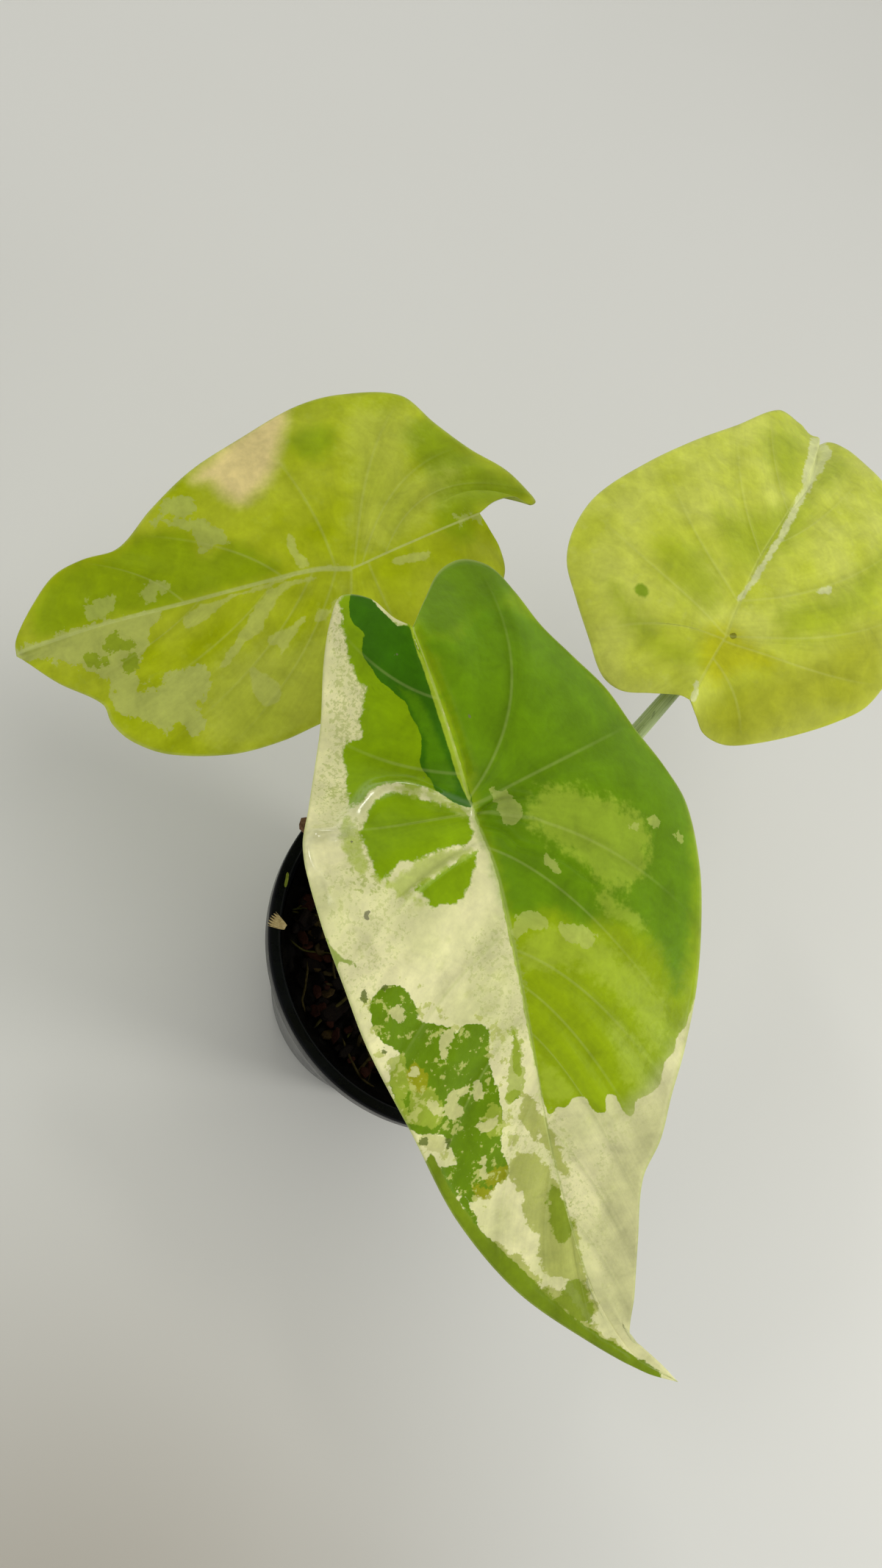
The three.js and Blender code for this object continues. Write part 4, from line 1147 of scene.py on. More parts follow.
# %% Build the stalks
# A stalk has its path in millimetres, and the direction in degrees that its sheath opens to. Lengths along it
# are shares of its whole length, and the lips and the slit between them have their widths in radians.
STALK_SIDES = 48
STALK_RINGS = 150
FOOT_RADIUS = 4.2
SHEATH_RADIUS = 2.9
TOP_RADIUS = 1.7
TOP_FLARE = 0.5
FLARE_LENGTH = 0.03
SHEATH_LENGTH = 0.3
SHEATH_START = 0.04
LIP_ANGLE = 0.5
LIP_WIDTH = 0.14
LIP_HEIGHT = 0.9
SLIT_WIDTH = 0.3
SLIT_DEPTH = 0.8
STALKS = {
    "front": ([(-4, -1, 87.3), (-6, 6, 110), (-14, 10, 140), (-21, 10.5, 163), (-22, 10, 174.3)], 60),
    "left": ([(-1, 8.5, 87.3), (-10, 30, 112), (-20, 54, 130), (-33, 77, 137.5), (-39.3, 83.2, 141.3)], -80),
    "right": ([(7, 2, 87.3), (14, 18, 120), (37, 46.5, 150), (48, 59, 159), (52.6, 63.4, 161.3)], 200),
}


def stalk_radius(t, angle):
    """The radius at each share of the length and each angle, with the sheath's lips round its opening."""
    along = np.interp(t, [0, SHEATH_LENGTH, 1], [FOOT_RADIUS, SHEATH_RADIUS, TOP_RADIUS])
    flare = TOP_FLARE * np.exp(-((1 - t) / FLARE_LENGTH) ** 2)
    away = (angle + math.pi) % (2 * math.pi) - math.pi
    slit = SLIT_DEPTH * np.exp(-(away / SLIT_WIDTH) ** 2)
    lips = np.exp(-((np.abs(away) - LIP_ANGLE) / LIP_WIDTH) ** 2) - slit
    sheath = smoothstep(SHEATH_LENGTH * 1.5, SHEATH_LENGTH * 0.6, t) * smoothstep(0, SHEATH_START, t)
    return (along + flare)[:, None] + LIP_HEIGHT * sheath[:, None] * lips[None, :]


def stalk_piece(name, path, open_side, material):
    """A stalk along its path. Its skin reads where each point lies round it and along it."""
    read, _ = curve_through(path)
    t = np.linspace(0, 1, STALK_RINGS)
    angle = angles(STALK_SIDES)
    centres = read(t)
    tangents = unit(np.gradient(centres, axis=0))
    facing = math.radians(open_side)
    first = np.array((math.cos(facing), math.sin(facing), 0))
    first = unit(first - tangents * (tangents @ first)[:, None])
    second = np.cross(tangents, first)
    radius = stalk_radius(t, angle)
    spoke = np.cos(angle)[None, :, None] * first[:, None] + np.sin(angle)[None, :, None] * second[:, None]
    points = centres[:, None] + radius[..., None] * spoke
    piece = new_piece(name, points.reshape(-1, 3), tube_faces(STALK_RINGS, STALK_SIDES), [material])
    length = t * np.linalg.norm(np.diff(centres, axis=0), axis=1).sum()
    place = np.broadcast_arrays(np.cos(angle) * 2, np.sin(angle) * 2, length[:, None])
    store(piece, "round", np.stack(place, axis=-1).reshape(-1, 3))
    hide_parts(name)
    print_size(piece)


cuticle = stalk_skin()
for side, (path, open_side) in STALKS.items():
    stalk_piece("stalk_" + side, path, open_side, cuticle)

# %% [markdown]
# ## The pot
#
# The pot is moulded black polypropylene: glossy, with a rolled lip that draws a thin bright line round the
# top, and faint scuffs on its wall. The lip mirrors less than the wall, so that the line stays thin. The
# profile is turned round the axis in many small steps, and a boolean cuts the drain holes through the floor.

# %% The pot's plastic
def pot_plastic():
    """Moulded polypropylene: nearly black, glossy, with faint marks of handling that break its highlight."""
    material, tree = new_material("black_polypropylene")
    place = node(tree, "ShaderNodeTexCoord").outputs["Object"]
    settings = {"Vector": place, "Scale": 1 / (14 * MM), "Detail": 6.0, "Roughness": 0.6}
    smears = node(tree, "ShaderNodeTexNoise", settings).outputs["Fac"]
    settings = {"Vector": place, "Scale": 1 / (0.8 * MM), "Detail": 2.0}
    orange_peel = node(tree, "ShaderNodeTexNoise", settings).outputs["Fac"]
    settings = {"Value": smears, "From Min": 0.35, "From Max": 0.7, "To Min": 0.2, "To Max": 0.34}
    roughness = node(tree, "ShaderNodeMapRange", settings).outputs[0]
    share = node(tree, "ShaderNodeMapRange", {"Value": smears, "From Min": 0.4, "From Max": 0.75}).outputs[0]
    settings = {0: share, 6: linear("#070809"), 7: linear("#0D0F11")}
    colour = node(tree, "ShaderNodeMix", settings, data_type="RGBA").outputs[2]
    height = node(tree, "ShaderNodeSeparateXYZ", {0: place}).outputs[2]
    settings = {"Value": height, "From Min": 82 * MM, "From Max": 84 * MM, "To Min": 0.6, "To Max": 0.1}
    shine = node(tree, "ShaderNodeMapRange", settings).outputs[0]
    bump = node(tree, "ShaderNodeBump", {"Height": orange_peel, "Strength": 0.08, "Distance": 0.1 * MM})
    return finished(material, node(tree, "ShaderNodeBsdfPrincipled", {
        "Base Color": colour, "Normal": bump.outputs[0], "Roughness": roughness, "IOR": 1.49,
        "Specular IOR Level": shine,
    }))


# %% The pot's profile
POT_HEIGHT = 90
RIM_RADIUS = 52.5
FOOT = 38.5
FOOT_WIDTH = 7.5
FOOT_STEP = 3
PAD_RADIUS = 15
TOP_OF_WALL = 50.3
WALL = 1.2
FLOOR = 1.6
LIP_DEPTH = 6
LIP_ROUND = 1.0
WALL_STOPS = (20, 40, 60, 75)


def wall_radius(height):
    """The outside of the pot's wall at a height."""
    return FOOT + (TOP_OF_WALL - FOOT) * height / POT_HEIGHT


def rounded(start, corner, end, count=4):
    """Points of a small round corner between two points of a profile."""
    t = np.linspace(0, 1, count)[:, None]
    start, corner, end = np.array(start), np.array(corner), np.array(end)
    return (start * (1 - t) ** 2 + corner * 2 * t * (1 - t) + end * t * t).tolist()


def pot_profile():
    """The pot's profile as radius and height: from the axis underneath, up the outside, down the inside."""
    top, lip, pad = POT_HEIGHT, POT_HEIGHT - LIP_DEPTH, PAD_RADIUS
    outer, rim, r, foot = wall_radius(lip), RIM_RADIUS, LIP_ROUND, FOOT - FOOT_WIDTH
    inner_top, inner_foot = TOP_OF_WALL - WALL, wall_radius(FOOT_STEP) - WALL
    floor = FOOT_STEP + FLOOR
    profile = [[0, 0], [pad - 0.5, 0]]
    profile += rounded((pad - 0.5, 0), (pad, 0), (pad + 0.3, 0.6))
    profile += [[pad + 1, FOOT_STEP]]
    profile += rounded((foot - 0.8, FOOT_STEP), (foot, FOOT_STEP), (foot, FOOT_STEP - 0.8))
    profile += rounded((foot, 0.6), (foot, 0), (foot + 0.6, 0))
    profile += rounded((FOOT - 1.5, 0), (FOOT, 0), (wall_radius(1.5), 1.5), 8)
    profile += [[wall_radius(h), h] for h in WALL_STOPS]
    profile += rounded((outer - 0.03, lip - 0.8), (outer, lip), (outer + 0.8, lip))
    profile += rounded((rim - 0.35, lip), (rim, lip), (rim, lip + 0.35))
    profile += rounded((rim, top - r), (rim, top), (rim - r, top), 8)
    profile += rounded((inner_top + r, top), (inner_top, top), (inner_top - 0.1, top - r), 8)
    profile += [[wall_radius(h) - WALL, h] for h in reversed(WALL_STOPS)]
    profile += rounded((inner_foot + 0.15, floor + 1), (inner_foot, floor), (inner_foot - 1, floor), 5)
    profile += [[pad, floor], [0, floor]]
    return profile


# %% Turn the pot and cut its drain holes
POT_STEPS = 288
DRAIN_HOLES = 8
DRAIN_RADIUS = 3.5
DRAIN_CIRCLE = 24
ROD_STEPS = 40
ROD_PROFILE = [[0, 1], [DRAIN_RADIUS, 1], [DRAIN_RADIUS, 8], [0, 8]]
SHARP_ANGLE = 40


def turned(profile, steps):
    """The points and faces of a profile turned round the upright axis."""
    profile = [p for i, p in enumerate(profile) if i == 0 or math.dist(p, profile[i - 1]) > 1e-6]
    points, faces, rings = [], [], []
    for radius, height in profile:
        count = 1 if radius == 0 else steps
        rings.append(range(len(points), len(points) + count))
        for k in range(count):
            angle = 2 * math.pi * k / steps
            points.append((radius * math.cos(angle), radius * math.sin(angle), height))
    for lower, upper in zip(rings, rings[1:]):
        for k in range(steps):
            following = (k + 1) % steps
            if len(lower) == 1:
                faces.append((lower[0], upper[following], upper[k]))
            elif len(upper) == 1:
                faces.append((lower[k], lower[following], upper[0]))
            else:
                faces.append((lower[k], lower[following], upper[following], upper[k]))
    return points, faces


def drain_cutter():
    """The rods that the drain holes are cut with."""
    points, faces = [], []
    for hole in range(DRAIN_HOLES):
        angle = 2 * math.pi * hole / DRAIN_HOLES
        x, y = DRAIN_CIRCLE * math.cos(angle), DRAIN_CIRCLE * math.sin(angle)
        rod, sides = turned(ROD_PROFILE, ROD_STEPS)
        faces += [tuple(i + len(points) for i in side) for side in sides]
        points += [(px + x, py + y, pz) for px, py, pz in rod]
    return points, faces


pot = new_piece("nursery_pot", *turned(pot_profile(), POT_STEPS), [pot_plastic()])
cutter = new_piece("cutter", *drain_cutter(), [])
cut = pot.modifiers.new("drain_holes", "BOOLEAN")
cut.object = cutter
cut.operation = "DIFFERENCE"
cut.solver = "EXACT"
bpy.context.view_layer.update()
pierced = bpy.data.meshes.new_from_object(pot.evaluated_get(bpy.context.evaluated_depsgraph_get()))
pot.modifiers.clear()
pot.data = pierced
pot.data.set_sharp_from_angle(angle=math.radians(SHARP_ANGLE))
bpy.data.objects.remove(cutter)
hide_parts("pot")
print_size(pot)

# %% [markdown]
# ## The potting mix
#
# Aroid mix is coarse: dark composted bark and coir, with reddish chips and pale fibres lying on top. The bed
# is one closed body with an uneven top. About 700 separate chips and 90 fibres are scattered on it, each a
# little different. A soft noise alone would look like wet mud, because the eye looks for the chips' edges.
# The mix, its chips and its fibres are coloured much darker than the bark's own colours: this is painted
# shade for the shadow that the leaves and the pot's wall cast on them.

# %% The finishes of the mix
def crumb(name, dark, light, accent, size, roughness=0.85):
    """Composted bark: dull, dark and fibrous, with paler broken places. Its size is that of its lumps."""
    material, tree = new_material(name)
    place = node(tree, "ShaderNodeTexCoord").outputs["Object"]
    settings = {"Vector": place, "Scale": 1 / (size * MM), "Detail": 8.0, "Roughness": 0.65}
    lumps = node(tree, "ShaderNodeTexNoise", settings).outputs["Fac"]
    spread = node(tree, "ShaderNodeAttribute", attribute_name="shade").outputs["Fac"]
    share = node(tree, "ShaderNodeMapRange", {"Value": lumps, "From Min": 0.35, "From Max": 0.68}).outputs[0]
    settings = {0: share, 6: linear(dark), 7: linear(light)}
    colour = node(tree, "ShaderNodeMix", settings, data_type="RGBA").outputs[2]
    settings = {0: spread, 6: colour, 7: linear(accent)}
    colour = node(tree, "ShaderNodeMix", settings, data_type="RGBA").outputs[2]
    bump = node(tree, "ShaderNodeBump", {"Height": lumps, "Strength": 0.8, "Distance": 0.6 * MM})
    return finished(material, node(tree, "ShaderNodeBsdfPrincipled", {
        "Base Color": colour, "Normal": bump.outputs[0], "Roughness": roughness, "IOR": 1.4,
        "Specular IOR Level": 0.08,
    }))


# %% The bed of mix
# Each kind of lump has its size and its depth in millimetres, and is the sum of a few waves at odd angles.
# The lumps fade out LEVEL_MARGIN before the edge, and the gaps keep the bed clear of the pot.
SOIL_LEVEL = 80.5
UNEVENNESS = 1.3
SOIL_RINGS = 110
SOIL_STEPS = 300
SOIL_GAP = 0.15
LUMPS = ((6, 0.45), (3.4, 0.3), (1.9, 0.2))
LUMP_WAVES = 9
LUMP_SEED = 11
LEVEL_MARGIN = 3
FOOT_GAP = 1.2
BOTTOM_GAP = 0.2


def soil_height(x, y):
    """The broad unevenness of the bed, as in the CAD."""
    waves = np.sin(0.23 * x + 1.1) * np.cos(0.19 * y) + 0.6 * np.sin(0.41 * y - 0.33 * x)
    return SOIL_LEVEL + UNEVENNESS * 0.6 * waves


def crumbs(x, y):
    """Lumps a few millimetres wide."""
    total = np.zeros_like(x)
    chance = random.Random(LUMP_SEED)
    for size, depth in LUMPS:
        for _ in range(LUMP_WAVES):
            angle, phase = chance.uniform(0, math.tau), chance.uniform(0, math.tau)
            step = math.tau / size * chance.uniform(0.8, 1.25)
            total += depth / 3 * np.sin(step * (x * math.cos(angle) + y * math.sin(angle)) + phase)
    return total


def mix_bed(material):
    """The bed: an uneven top, sides that follow the pot's wall, and a flat bottom."""
    edge = wall_radius(SOIL_LEVEL) - WALL - SOIL_GAP
    rings = edge * np.linspace(0, 1, SOIL_RINGS)[1:]
    angle = angles(SOIL_STEPS)
    x, y = rings[:, None] * np.cos(angle), rings[:, None] * np.sin(angle)
    z = soil_height(x, y) + crumbs(x, y) * smoothstep(edge, edge - LEVEL_MARGIN, rings)[:, None]
    top = np.stack([x, y, z], axis=-1).reshape(-1, 3)
    radius, bottom = wall_radius(FOOT_STEP) - WALL - FOOT_GAP, FOOT_STEP + FLOOR + BOTTOM_GAP
    low = np.stack([radius * np.cos(angle), radius * np.sin(angle), np.full_like(angle, bottom)], axis=-1)
    points = np.concatenate([top, low, [(0, 0, float(soil_height(0.0, 0.0)))], [(0, 0, bottom)]])
    faces = ring_quads(len(rings) + 1, SOIL_STEPS)[:, [0, 3, 2, 1]].tolist()
    centre, under = len(top) + len(low), len(top) + len(low) + 1
    for k in range(SOIL_STEPS):
        following = (k + 1) % SOIL_STEPS
        faces.append((centre, k, following))
        faces.append((under, len(top) + following, len(top) + k))
    bed = new_piece("potting_bed", points, faces, [material])
    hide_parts("potting_mix")
    print_size(bed)


# Near black: the bark's own dark colour, with painted shade for the leaves' and the wall's shadow.
mix_bed(crumb("composted_bark_painted_shade", "#030201", "#0B0805", "#070704", 1.6))

# %% The form of a chip
# A flake has four rings of corners. Each ring has its height, as a share of the flake's depth, and its width.
# The flake's own width and depth are shares of its length, and each corner strays a little.
CHIP_CORNERS = 9
CHIP_WIDTHS = (0.45, 0.8)
CHIP_DEPTHS = (0.16, 0.3)
CORNER_REACHES = (0.78, 1.05)
CORNER_STRAY = 0.22
HEIGHT_STRAY = 0.07
CHIP_RINGS = ((-0.5, 0.72), (-0.3, 0.97), (0.28, 1.0), (0.5, 0.8))


def chip_form(chance, length):
    """The points of one broken flake of bark, flat and with split edges, round its own centre."""
    width, depth = length * chance.uniform(*CHIP_WIDTHS), length * chance.uniform(*CHIP_DEPTHS)
    rim = []
    for k in range(CHIP_CORNERS):
        angle = 2 * math.pi * k / CHIP_CORNERS + chance.uniform(-CORNER_STRAY, CORNER_STRAY)
        reach = chance.uniform(*CORNER_REACHES)
        rim.append((0.5 * length * reach * math.cos(angle), 0.5 * width * reach * math.sin(angle)))
    points = []
    for height, size in CHIP_RINGS:
        for x, y in rim:
            stray = chance.uniform(-HEIGHT_STRAY, HEIGHT_STRAY) * depth
            points.append((x * size, y * size, height * depth + stray))
    return points + [(0, 0, -0.5 * depth), (0, 0, 0.55 * depth)]


def chip_faces(first):
    """The faces of a flake whose points start at the number first."""
    faces = (ring_quads(len(CHIP_RINGS), CHIP_CORNERS) + first).tolist()
    top = first + (len(CHIP_RINGS) - 1) * CHIP_CORNERS
    low = top + CHIP_CORNERS
    high = low + 1
    for k in range(CHIP_CORNERS):
        following = (k + 1) % CHIP_CORNERS
        faces.append((low, first + following, first + k))
        faces.append((high, top + k, top + following))
    return faces


# %% Scatter the chips
# Each group has its number of chips, the range of their lengths in millimetres, and its finish. The finishes
# are darker than the bark's own colours: they hold painted shade for the shadow of the leaves on the mix.
CHIP_GROUPS = (
    ("dark_chips", 520, (3.5, 9), crumb("dark_bark_painted_shade", "#040302", "#120B07", "#0C0805", 2.2)),
    ("red_chips", 120, (3, 8), crumb("pine_bark_painted_shade", "#100502", "#2E140A", "#220E07", 2.0)),
    ("tan_chips", 70, (2.5, 6), crumb("dry_bark_painted_shade", "#1A1208", "#3A2C14", "#2A2410", 1.6)),
)
FIRST_SEED = 40
CHIP_REACH = 45.5
CHIP_TILT = 0.35
CHIP_LIFTS = (0.2, 1.3)


def chip_tilt(chance):
    """A turn round the upright axis, after a small tilt of the flake."""
    round_z = Matrix.Rotation(chance.uniform(0, math.tau), 3, "Z")
    round_x = Matrix.Rotation(chance.gauss(0, CHIP_TILT), 3, "X")
    return round_z @ round_x @ Matrix.Rotation(chance.gauss(0, CHIP_TILT), 3, "Y")


def scatter_chips(name, count, sizes, material, seed):
    """Many flakes in one mesh, lying on the bed at odd tilts."""
    chance = random.Random(seed)
    points, faces, shades = [], [], []
    for _ in range(count):
        length = chance.uniform(*sizes) * chance.uniform(0.7, 1.0)
        radius = math.sqrt(chance.uniform(0, 1)) * (CHIP_REACH - 0.4 * length)
        around = chance.uniform(0, math.tau)
        x, y = radius * math.cos(around), radius * math.sin(around)
        form = chip_form(chance, length)
        tilt = chip_tilt(chance)
        centre = Vector((x, y, float(soil_height(x, y)) + chance.uniform(*CHIP_LIFTS)))
        faces += chip_faces(len(points))
        points += [tilt @ Vector(p) + centre for p in form]
        shades += [chance.random() ** 2] * len(form)
    piece = new_piece(name, points, faces, [material], smooth=False)
    store(piece, "shade", shades)
    print_size(piece)


for seed, (name, count, sizes, material) in enumerate(CHIP_GROUPS):
    scatter_chips(name, count, sizes, material, FIRST_SEED + seed)

# %% [markdown]
# ## Fibres and husks
#
# Coir fibres and dry husks lie across the mix as thin pale strands. They are what tells the eye how small the
# chips are. Each is a thin tube along a slack curve, resting on the bed.

# %% The form of a strand
STRAND_SIDES = 6
STRAND_RINGS = 14
STRAND_FLATNESS = 0.6


def strand(path, width):
    """The points and faces of a flattened strand that narrows to both ends."""
    read, _ = curve_through(path)
    t = np.linspace(0, 1, STRAND_RINGS)
    centres = read(t)
    tangents = unit(np.gradient(centres, axis=0))
    aside = unit(np.cross(tangents, (0, 0, 1)))
    up = np.cross(aside, tangents)
    angle = angles(STRAND_SIDES)
    half = 0.5 * width * np.sqrt(np.clip(1 - (2 * t - 1) ** 6, 0.02, 1))
    low = STRAND_FLATNESS * np.sin(angle)[None, :, None]
    ring = np.cos(angle)[None, :, None] * aside[:, None] + low * up[:, None]
    points = (centres[:, None] + half[:, None, None] * ring).reshape(-1, 3)
    return points, tube_faces(STRAND_RINGS, STRAND_SIDES)


# %% Scatter the fibres
FIBRES = 90
FIBRE_SEED = 77
FIBRE_STEPS = 7
FIBRE_SLACK = 0.25
FIBRE_SPREAD = 40
FIBRE_LENGTHS = (6, 22)
FIBRE_WIDTHS = (0.35, 1.0)
FIBRE_LIFTS = (-0.3, 0.7)
FIBRE_REST = 1.2


def fibre_points(chance):
    """The path of one fibre."""
    x, y = chance.uniform(-FIBRE_SPREAD, FIBRE_SPREAD), chance.uniform(-FIBRE_SPREAD, FIBRE_SPREAD)
    heading, length = chance.uniform(0, math.tau), chance.uniform(*FIBRE_LENGTHS)
    path = []
    for step in range(FIBRE_STEPS):
        heading += chance.gauss(0, FIBRE_SLACK)
        x += length / (FIBRE_STEPS - 1) * math.cos(heading)
        y += length / (FIBRE_STEPS - 1) * math.sin(heading)
        reach = math.hypot(x, y)
        if reach > CHIP_REACH:
            x, y = x * CHIP_REACH / reach, y * CHIP_REACH / reach
        path.append((x, y, float(soil_height(x, y)) + FIBRE_REST + chance.uniform(*FIBRE_LIFTS)))
    return path


def scatter_fibres():
    """All the fibres as one mesh."""
    chance = random.Random(FIBRE_SEED)
    points, faces, shades = [], [], []
    for _ in range(FIBRES):
        ring, sides = strand(fibre_points(chance), chance.uniform(*FIBRE_WIDTHS))
        faces += [[i + len(points) for i in side] for side in sides]
        points += ring.tolist()
        shades += [chance.random()] * len(ring)
    # The coir is darker than its own colour: it holds painted shade for the shadow of the leaves.
    piece = new_piece("coir_fibres", points, faces, [crumb("coir", "#1C1509", "#3A3016", "#34340F", 1.2)])
    store(piece, "shade", shades)
    print_size(piece)


scatter_fibres()

# %% [markdown]
# ## The thick stem
#
# The stalks rise from a short thick stem, half sunk in the mix, with rings where old leaves stood. It is a
# tube whose radius dips at each scar and wavers a little, and its cork turns greener toward the top.

# %% Build the thick stem
STEM_CENTRE = (1, 3)
STEM_RADIUS = 11
STEM_TOP = 87
STEM_BOTTOM = 58.4
STEM_RINGS = 90
STEM_STEPS = 96
SCAR_SPACING = 3.1
SCAR_DEPTH = 0.35
SCAR_WIDTH = 0.25
SHOULDER_DEPTH = 1.6
SHOULDER_HEIGHT = 2.4
GREEN_FROM = 80


def thick_stem():
    """The stem as a ringed rod with an uneven skin."""
    angle = angles(STEM_STEPS)
    rings = []
    for h in np.linspace(STEM_BOTTOM, STEM_TOP, STEM_RINGS):
        scar = SCAR_DEPTH * math.exp(-(((h % SCAR_SPACING) - 1.5) / SCAR_WIDTH) ** 2)
        shoulder = SHOULDER_DEPTH * float(smoothstep(STEM_TOP - SHOULDER_HEIGHT, STEM_TOP, h)) ** 2
        wobble = 0.22 * np.sin(3 * angle + 0.4 * h) + 0.14 * np.sin(7 * angle - 0.9 * h)
        radius = STEM_RADIUS - 0.5 - scar - shoulder + wobble
        rings.append(np.stack([radius * np.cos(angle), radius * np.sin(angle), np.full_like(angle, h)], -1))
    points = np.concatenate(rings) + np.array([*STEM_CENTRE, 0])
    cork = crumb("stem_cork", "#4C3B25", "#8A7347", "#6F7A3E", 2.4)
    stem = new_piece("thick_stem", points, tube_faces(STEM_RINGS, STEM_STEPS), [cork])
    store(stem, "shade", smoothstep(GREEN_FROM, STEM_TOP, points[:, 2]) * 0.5)
    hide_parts("rhizome")
    print_size(stem)


thick_stem()

# %% [markdown]
# ## Scraps on the lip
#
# Three small things lie on the pot's lip: a dry husk like a fan, a chip of bark, and a green sliver. They
# rest just over the lip's flat top.

# %% Build the scraps
HUSK = {"length": 5.0, "width": 4.4, "teeth": 6, "at": (-50, 3.6), "turn": 58}
HUSK_COLUMNS, HUSK_ROWS = 49, 16
BARK = {"length": 7.5, "width": 5.0, "thickness": 1.8, "at": (-40.8, 31), "turn": 4}
BARK_SEED = 5
SLIVER_PATH = [(-47.2, 17.6), (-47.35, 16.2), (-47.6, 14.8), (-47.9, 13.4)]
SLIVER_WIDTH = 0.8
SCRAP_GAP = 0.05


def placed(points, scrap):
    """A scrap's own points, turned and set on the lip."""
    angle = math.radians(scrap["turn"])
    x = points[:, 0] * math.cos(angle) - points[:, 1] * math.sin(angle) + scrap["at"][0]
    y = points[:, 0] * math.sin(angle) + points[:, 1] * math.cos(angle) + scrap["at"][1]
    return np.stack([x, y, points[:, 2] - points[:, 2].min() + POT_HEIGHT + SCRAP_GAP], axis=-1)


def husk_piece():
    """The husk: a ribbed fan, thin at its toothed edge and curled up a little."""
    u = np.linspace(-1, 1, HUSK_COLUMNS)[:, None]
    v = np.linspace(0, 1, HUSK_ROWS)[None, :]
    ribs = np.cos(math.pi * HUSK["teeth"] * (u + 1))
    reach = HUSK["length"] * (1 - 0.1 * u ** 2 - 0.3 * (1 - (0.5 + 0.5 * ribs)) * v ** 3)
    x = HUSK["width"] / 2 * u * (0.3 + 0.7 * v ** 0.8)
    y = reach * v - HUSK["length"] / 2
    z = 0.12 * ribs * v + 0.35 * (v - 0.5) ** 2
    half = 0.11 + 0.1 * (1 - v)
    faces = np.concatenate(blade_faces(HUSK_COLUMNS, HUSK_ROWS)).tolist()
    points = np.concatenate([np.stack([x, y, z + half], axis=-1), np.stack([x, y, z - half], axis=-1)])
    skin = crumb("dry_husk_skin", "#A58E5C", "#D2BE8C", "#BCA66F", 0.9, roughness=0.65)
    piece = new_piece("dry_husk", placed(points.reshape(-1, 3), HUSK), faces, [skin])
    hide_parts("husk")
    print_size(piece)


def bark_piece():
    """The chip of bark, a larger flake of the same kind as those in the mix."""
    points = np.array(chip_form(random.Random(BARK_SEED), BARK["length"]))
    points *= np.array((BARK["length"], BARK["width"], BARK["thickness"])) / np.ptp(points, axis=0)
    bark = crumb("lip_bark", "#4A3626", "#86664A", "#6B5036", 1.5)
    piece = new_piece("lip_chip", placed(points, BARK), chip_faces(0), [bark], smooth=False)
    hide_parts("bark_chip")
    print_size(piece)


def sliver_piece():
    """A thin green strip that lies flat on the lip."""
    rest = POT_HEIGHT + SCRAP_GAP + 0.3 * SLIVER_WIDTH
    points, faces = strand([(x, y, rest) for x, y in SLIVER_PATH], SLIVER_WIDTH)
    skin = crumb("sliver_skin", "#5F6A1E", "#8A9236", "#747E28", 0.8)
    piece = new_piece("green_sliver", points, faces, [skin])
    print_size(piece)


husk_piece()
bark_piece()
sliver_piece()

# %% [markdown]
# ## Floor and light
#
# The floor is a plain pale tabletop, with a round painted shadow, greyer and warmer, to the lower left.
# The light is soft. It comes from a bright room, weaker overhead than around, from a window at the right,
# which puts the soft shadow to the left of the pot, and from a wide panel above. A small lamp behind draws
# the highlights on the creases.

# %% Floor
# The painted shadow and the broad clouds of the paint are in metres, and the floor is in millimetres.
PAINTED_SHADOW_PLACE = (-0.11, -0.22, 0)
PAINTED_SHADOW_RADIUS = 0.21
BOARD_CLOUD = 0.35
FLOOR_HALF = 1500


def table_top():
    """Matt painted board: almost even, with a round painted shadow, greyer and warmer, toward the lower left.
    """
    material, tree = new_material("painted_board")
    place = node(tree, "ShaderNodeTexCoord").outputs["Object"]
    settings = {"Vector": place, "Scale": 1 / BOARD_CLOUD, "Detail": 3.0}
    broad = node(tree, "ShaderNodeTexNoise", settings).outputs["Fac"]
    settings = {0: broad, 6: linear("#D8D7CF"), 7: linear("#DFDFD9")}
    colour = node(tree, "ShaderNodeMix", settings, data_type="RGBA").outputs[2]
    # A round painted shadow, greyer and warmer, darkens the board toward the lower left.
    settings = {0: place, 1: PAINTED_SHADOW_PLACE}
    away = node(tree, "ShaderNodeVectorMath", settings, operation="DISTANCE").outputs["Value"]
    settings = {"Value": away, "From Min": PAINTED_SHADOW_RADIUS, "From Max": 0.0}
    share = node(tree, "ShaderNodeMapRange", settings, interpolation_type="SMOOTHSTEP").outputs[0]
    settings = {0: share, 6: colour, 7: linear("#AFA99B")}
    colour = node(tree, "ShaderNodeMix", settings, data_type="RGBA").outputs[2]
    settings = {"Base Color": colour, "Roughness": 0.6}
    return finished(material, node(tree, "ShaderNodeBsdfPrincipled", settings))


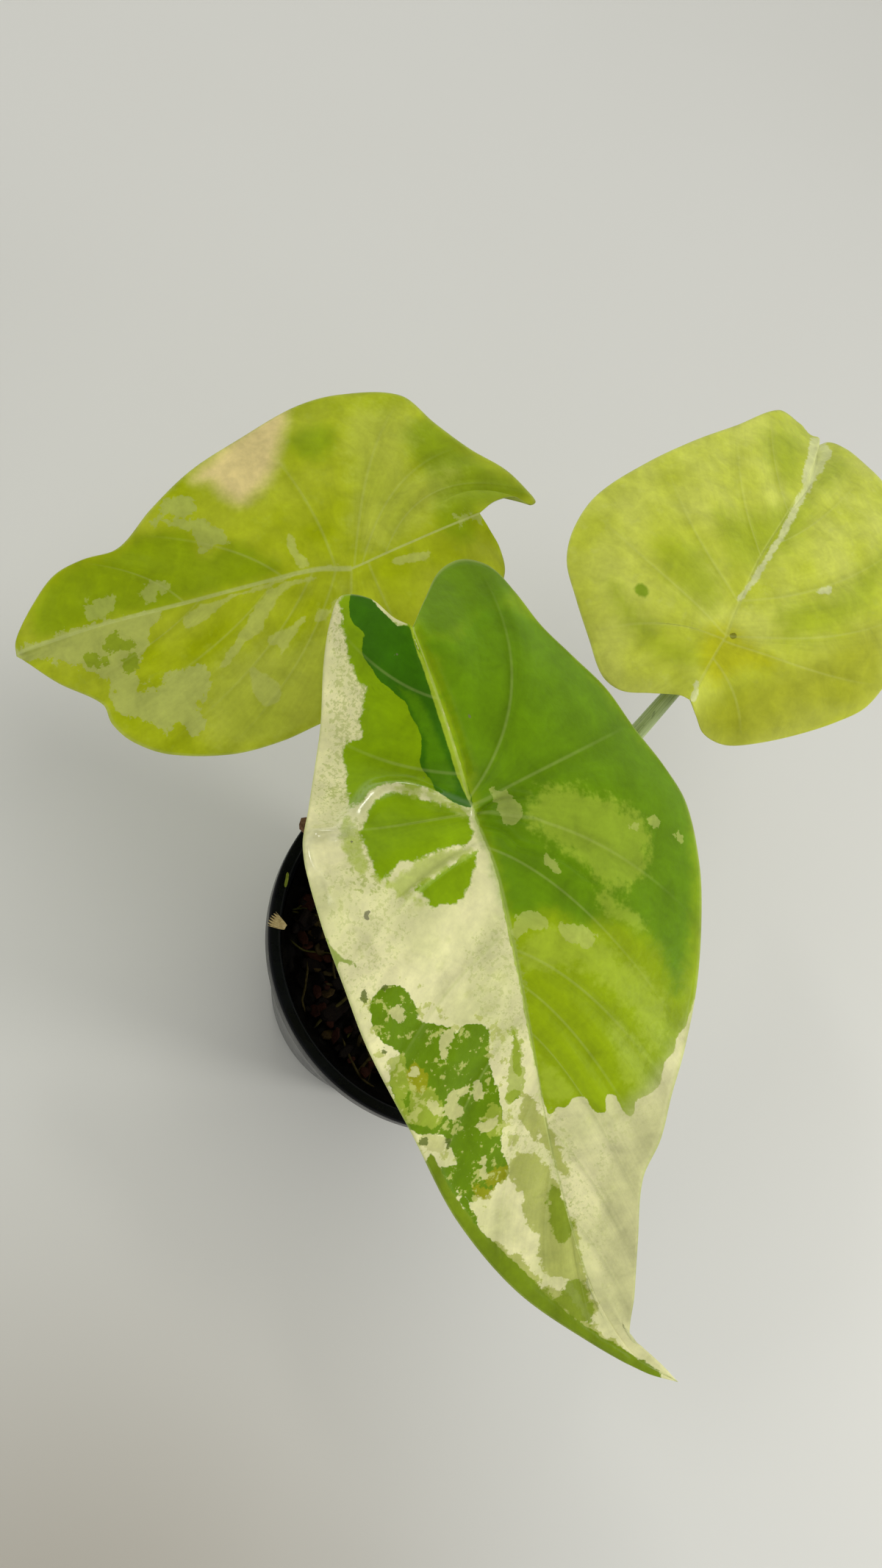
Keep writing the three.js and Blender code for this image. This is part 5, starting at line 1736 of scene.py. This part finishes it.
corners = np.array([(-1, -1, 0), (1, -1, 0), (1, 1, 0), (-1, 1, 0)]) * FLOOR_HALF * MM
mesh = bpy.data.meshes.new("floor")
mesh.from_pydata(corners.tolist(), [], [(0, 1, 2, 3)])
mesh.materials.append(table_top())
floor = bpy.data.objects.new("floor", mesh)
bpy.context.scene.collection.objects.link(floor)
print("the floor is", 2 * FLOOR_HALF * MM, "m wide")

# %% Light
# Places and sizes are in metres, and the power is in watts.
HORIZON, ZENITH = 1.4, 0.25
PANELS = {
    "window": {
        "place": (0.75, -0.3, 0.45), "target": (0, 0, 0.05), "size": 0.26, "power": 2.3,
        "colour": (1.0, 0.99, 0.97),
    },
    "ceiling": {
        "place": (0.1, 0.0, 1.0), "target": (0, 0, 0), "size": 0.5, "power": 1.5, "colour": (1.0, 1.0, 0.98),
    },
    "lamp": {
        "place": (-0.16, 0.75, 0.77), "target": (0, 0, 0.1), "size": 0.11, "power": 0.75,
        "colour": (1.0, 1.0, 0.98),
    },
}


def add_panel(name, panel):
    """A soft round light panel that faces its target."""
    light = bpy.data.lights.new(name, "AREA")
    light.shape = "DISK"
    light.size = panel["size"]
    light.energy = panel["power"]
    light.color = panel["colour"]
    lamp = bpy.data.objects.new(name, light)
    bpy.context.scene.collection.objects.link(lamp)
    lamp.location = panel["place"]
    facing = Vector(panel["target"]) - Vector(panel["place"])
    lamp.rotation_euler = facing.to_track_quat("-Z", "Y").to_euler()


def room(horizon, zenith):
    """The light of a bright room, weaker overhead than around, so that the leaves reflect little of it."""
    world = bpy.data.worlds.new("room")
    world.use_nodes = True
    tree = world.node_tree
    tree.nodes.clear()
    place = node(tree, "ShaderNodeTexCoord").outputs["Generated"]
    height = node(tree, "ShaderNodeSeparateXYZ", {0: place}).outputs[2]
    settings = {"Value": height, "From Min": 0.15, "From Max": 0.85, "To Min": horizon, "To Max": zenith}
    strength = node(tree, "ShaderNodeMapRange", settings).outputs[0]
    settings = {"Color": (1.0, 1.0, 0.985, 1), "Strength": strength}
    background = node(tree, "ShaderNodeBackground", settings).outputs[0]
    node(tree, "ShaderNodeOutputWorld", {"Surface": background})
    bpy.context.scene.world = world


room(HORIZON, ZENITH)
bpy.context.scene.view_settings.view_transform = "Standard"
for name, panel in PANELS.items():
    add_panel(name, panel)
print("the light panels:", list(PANELS))
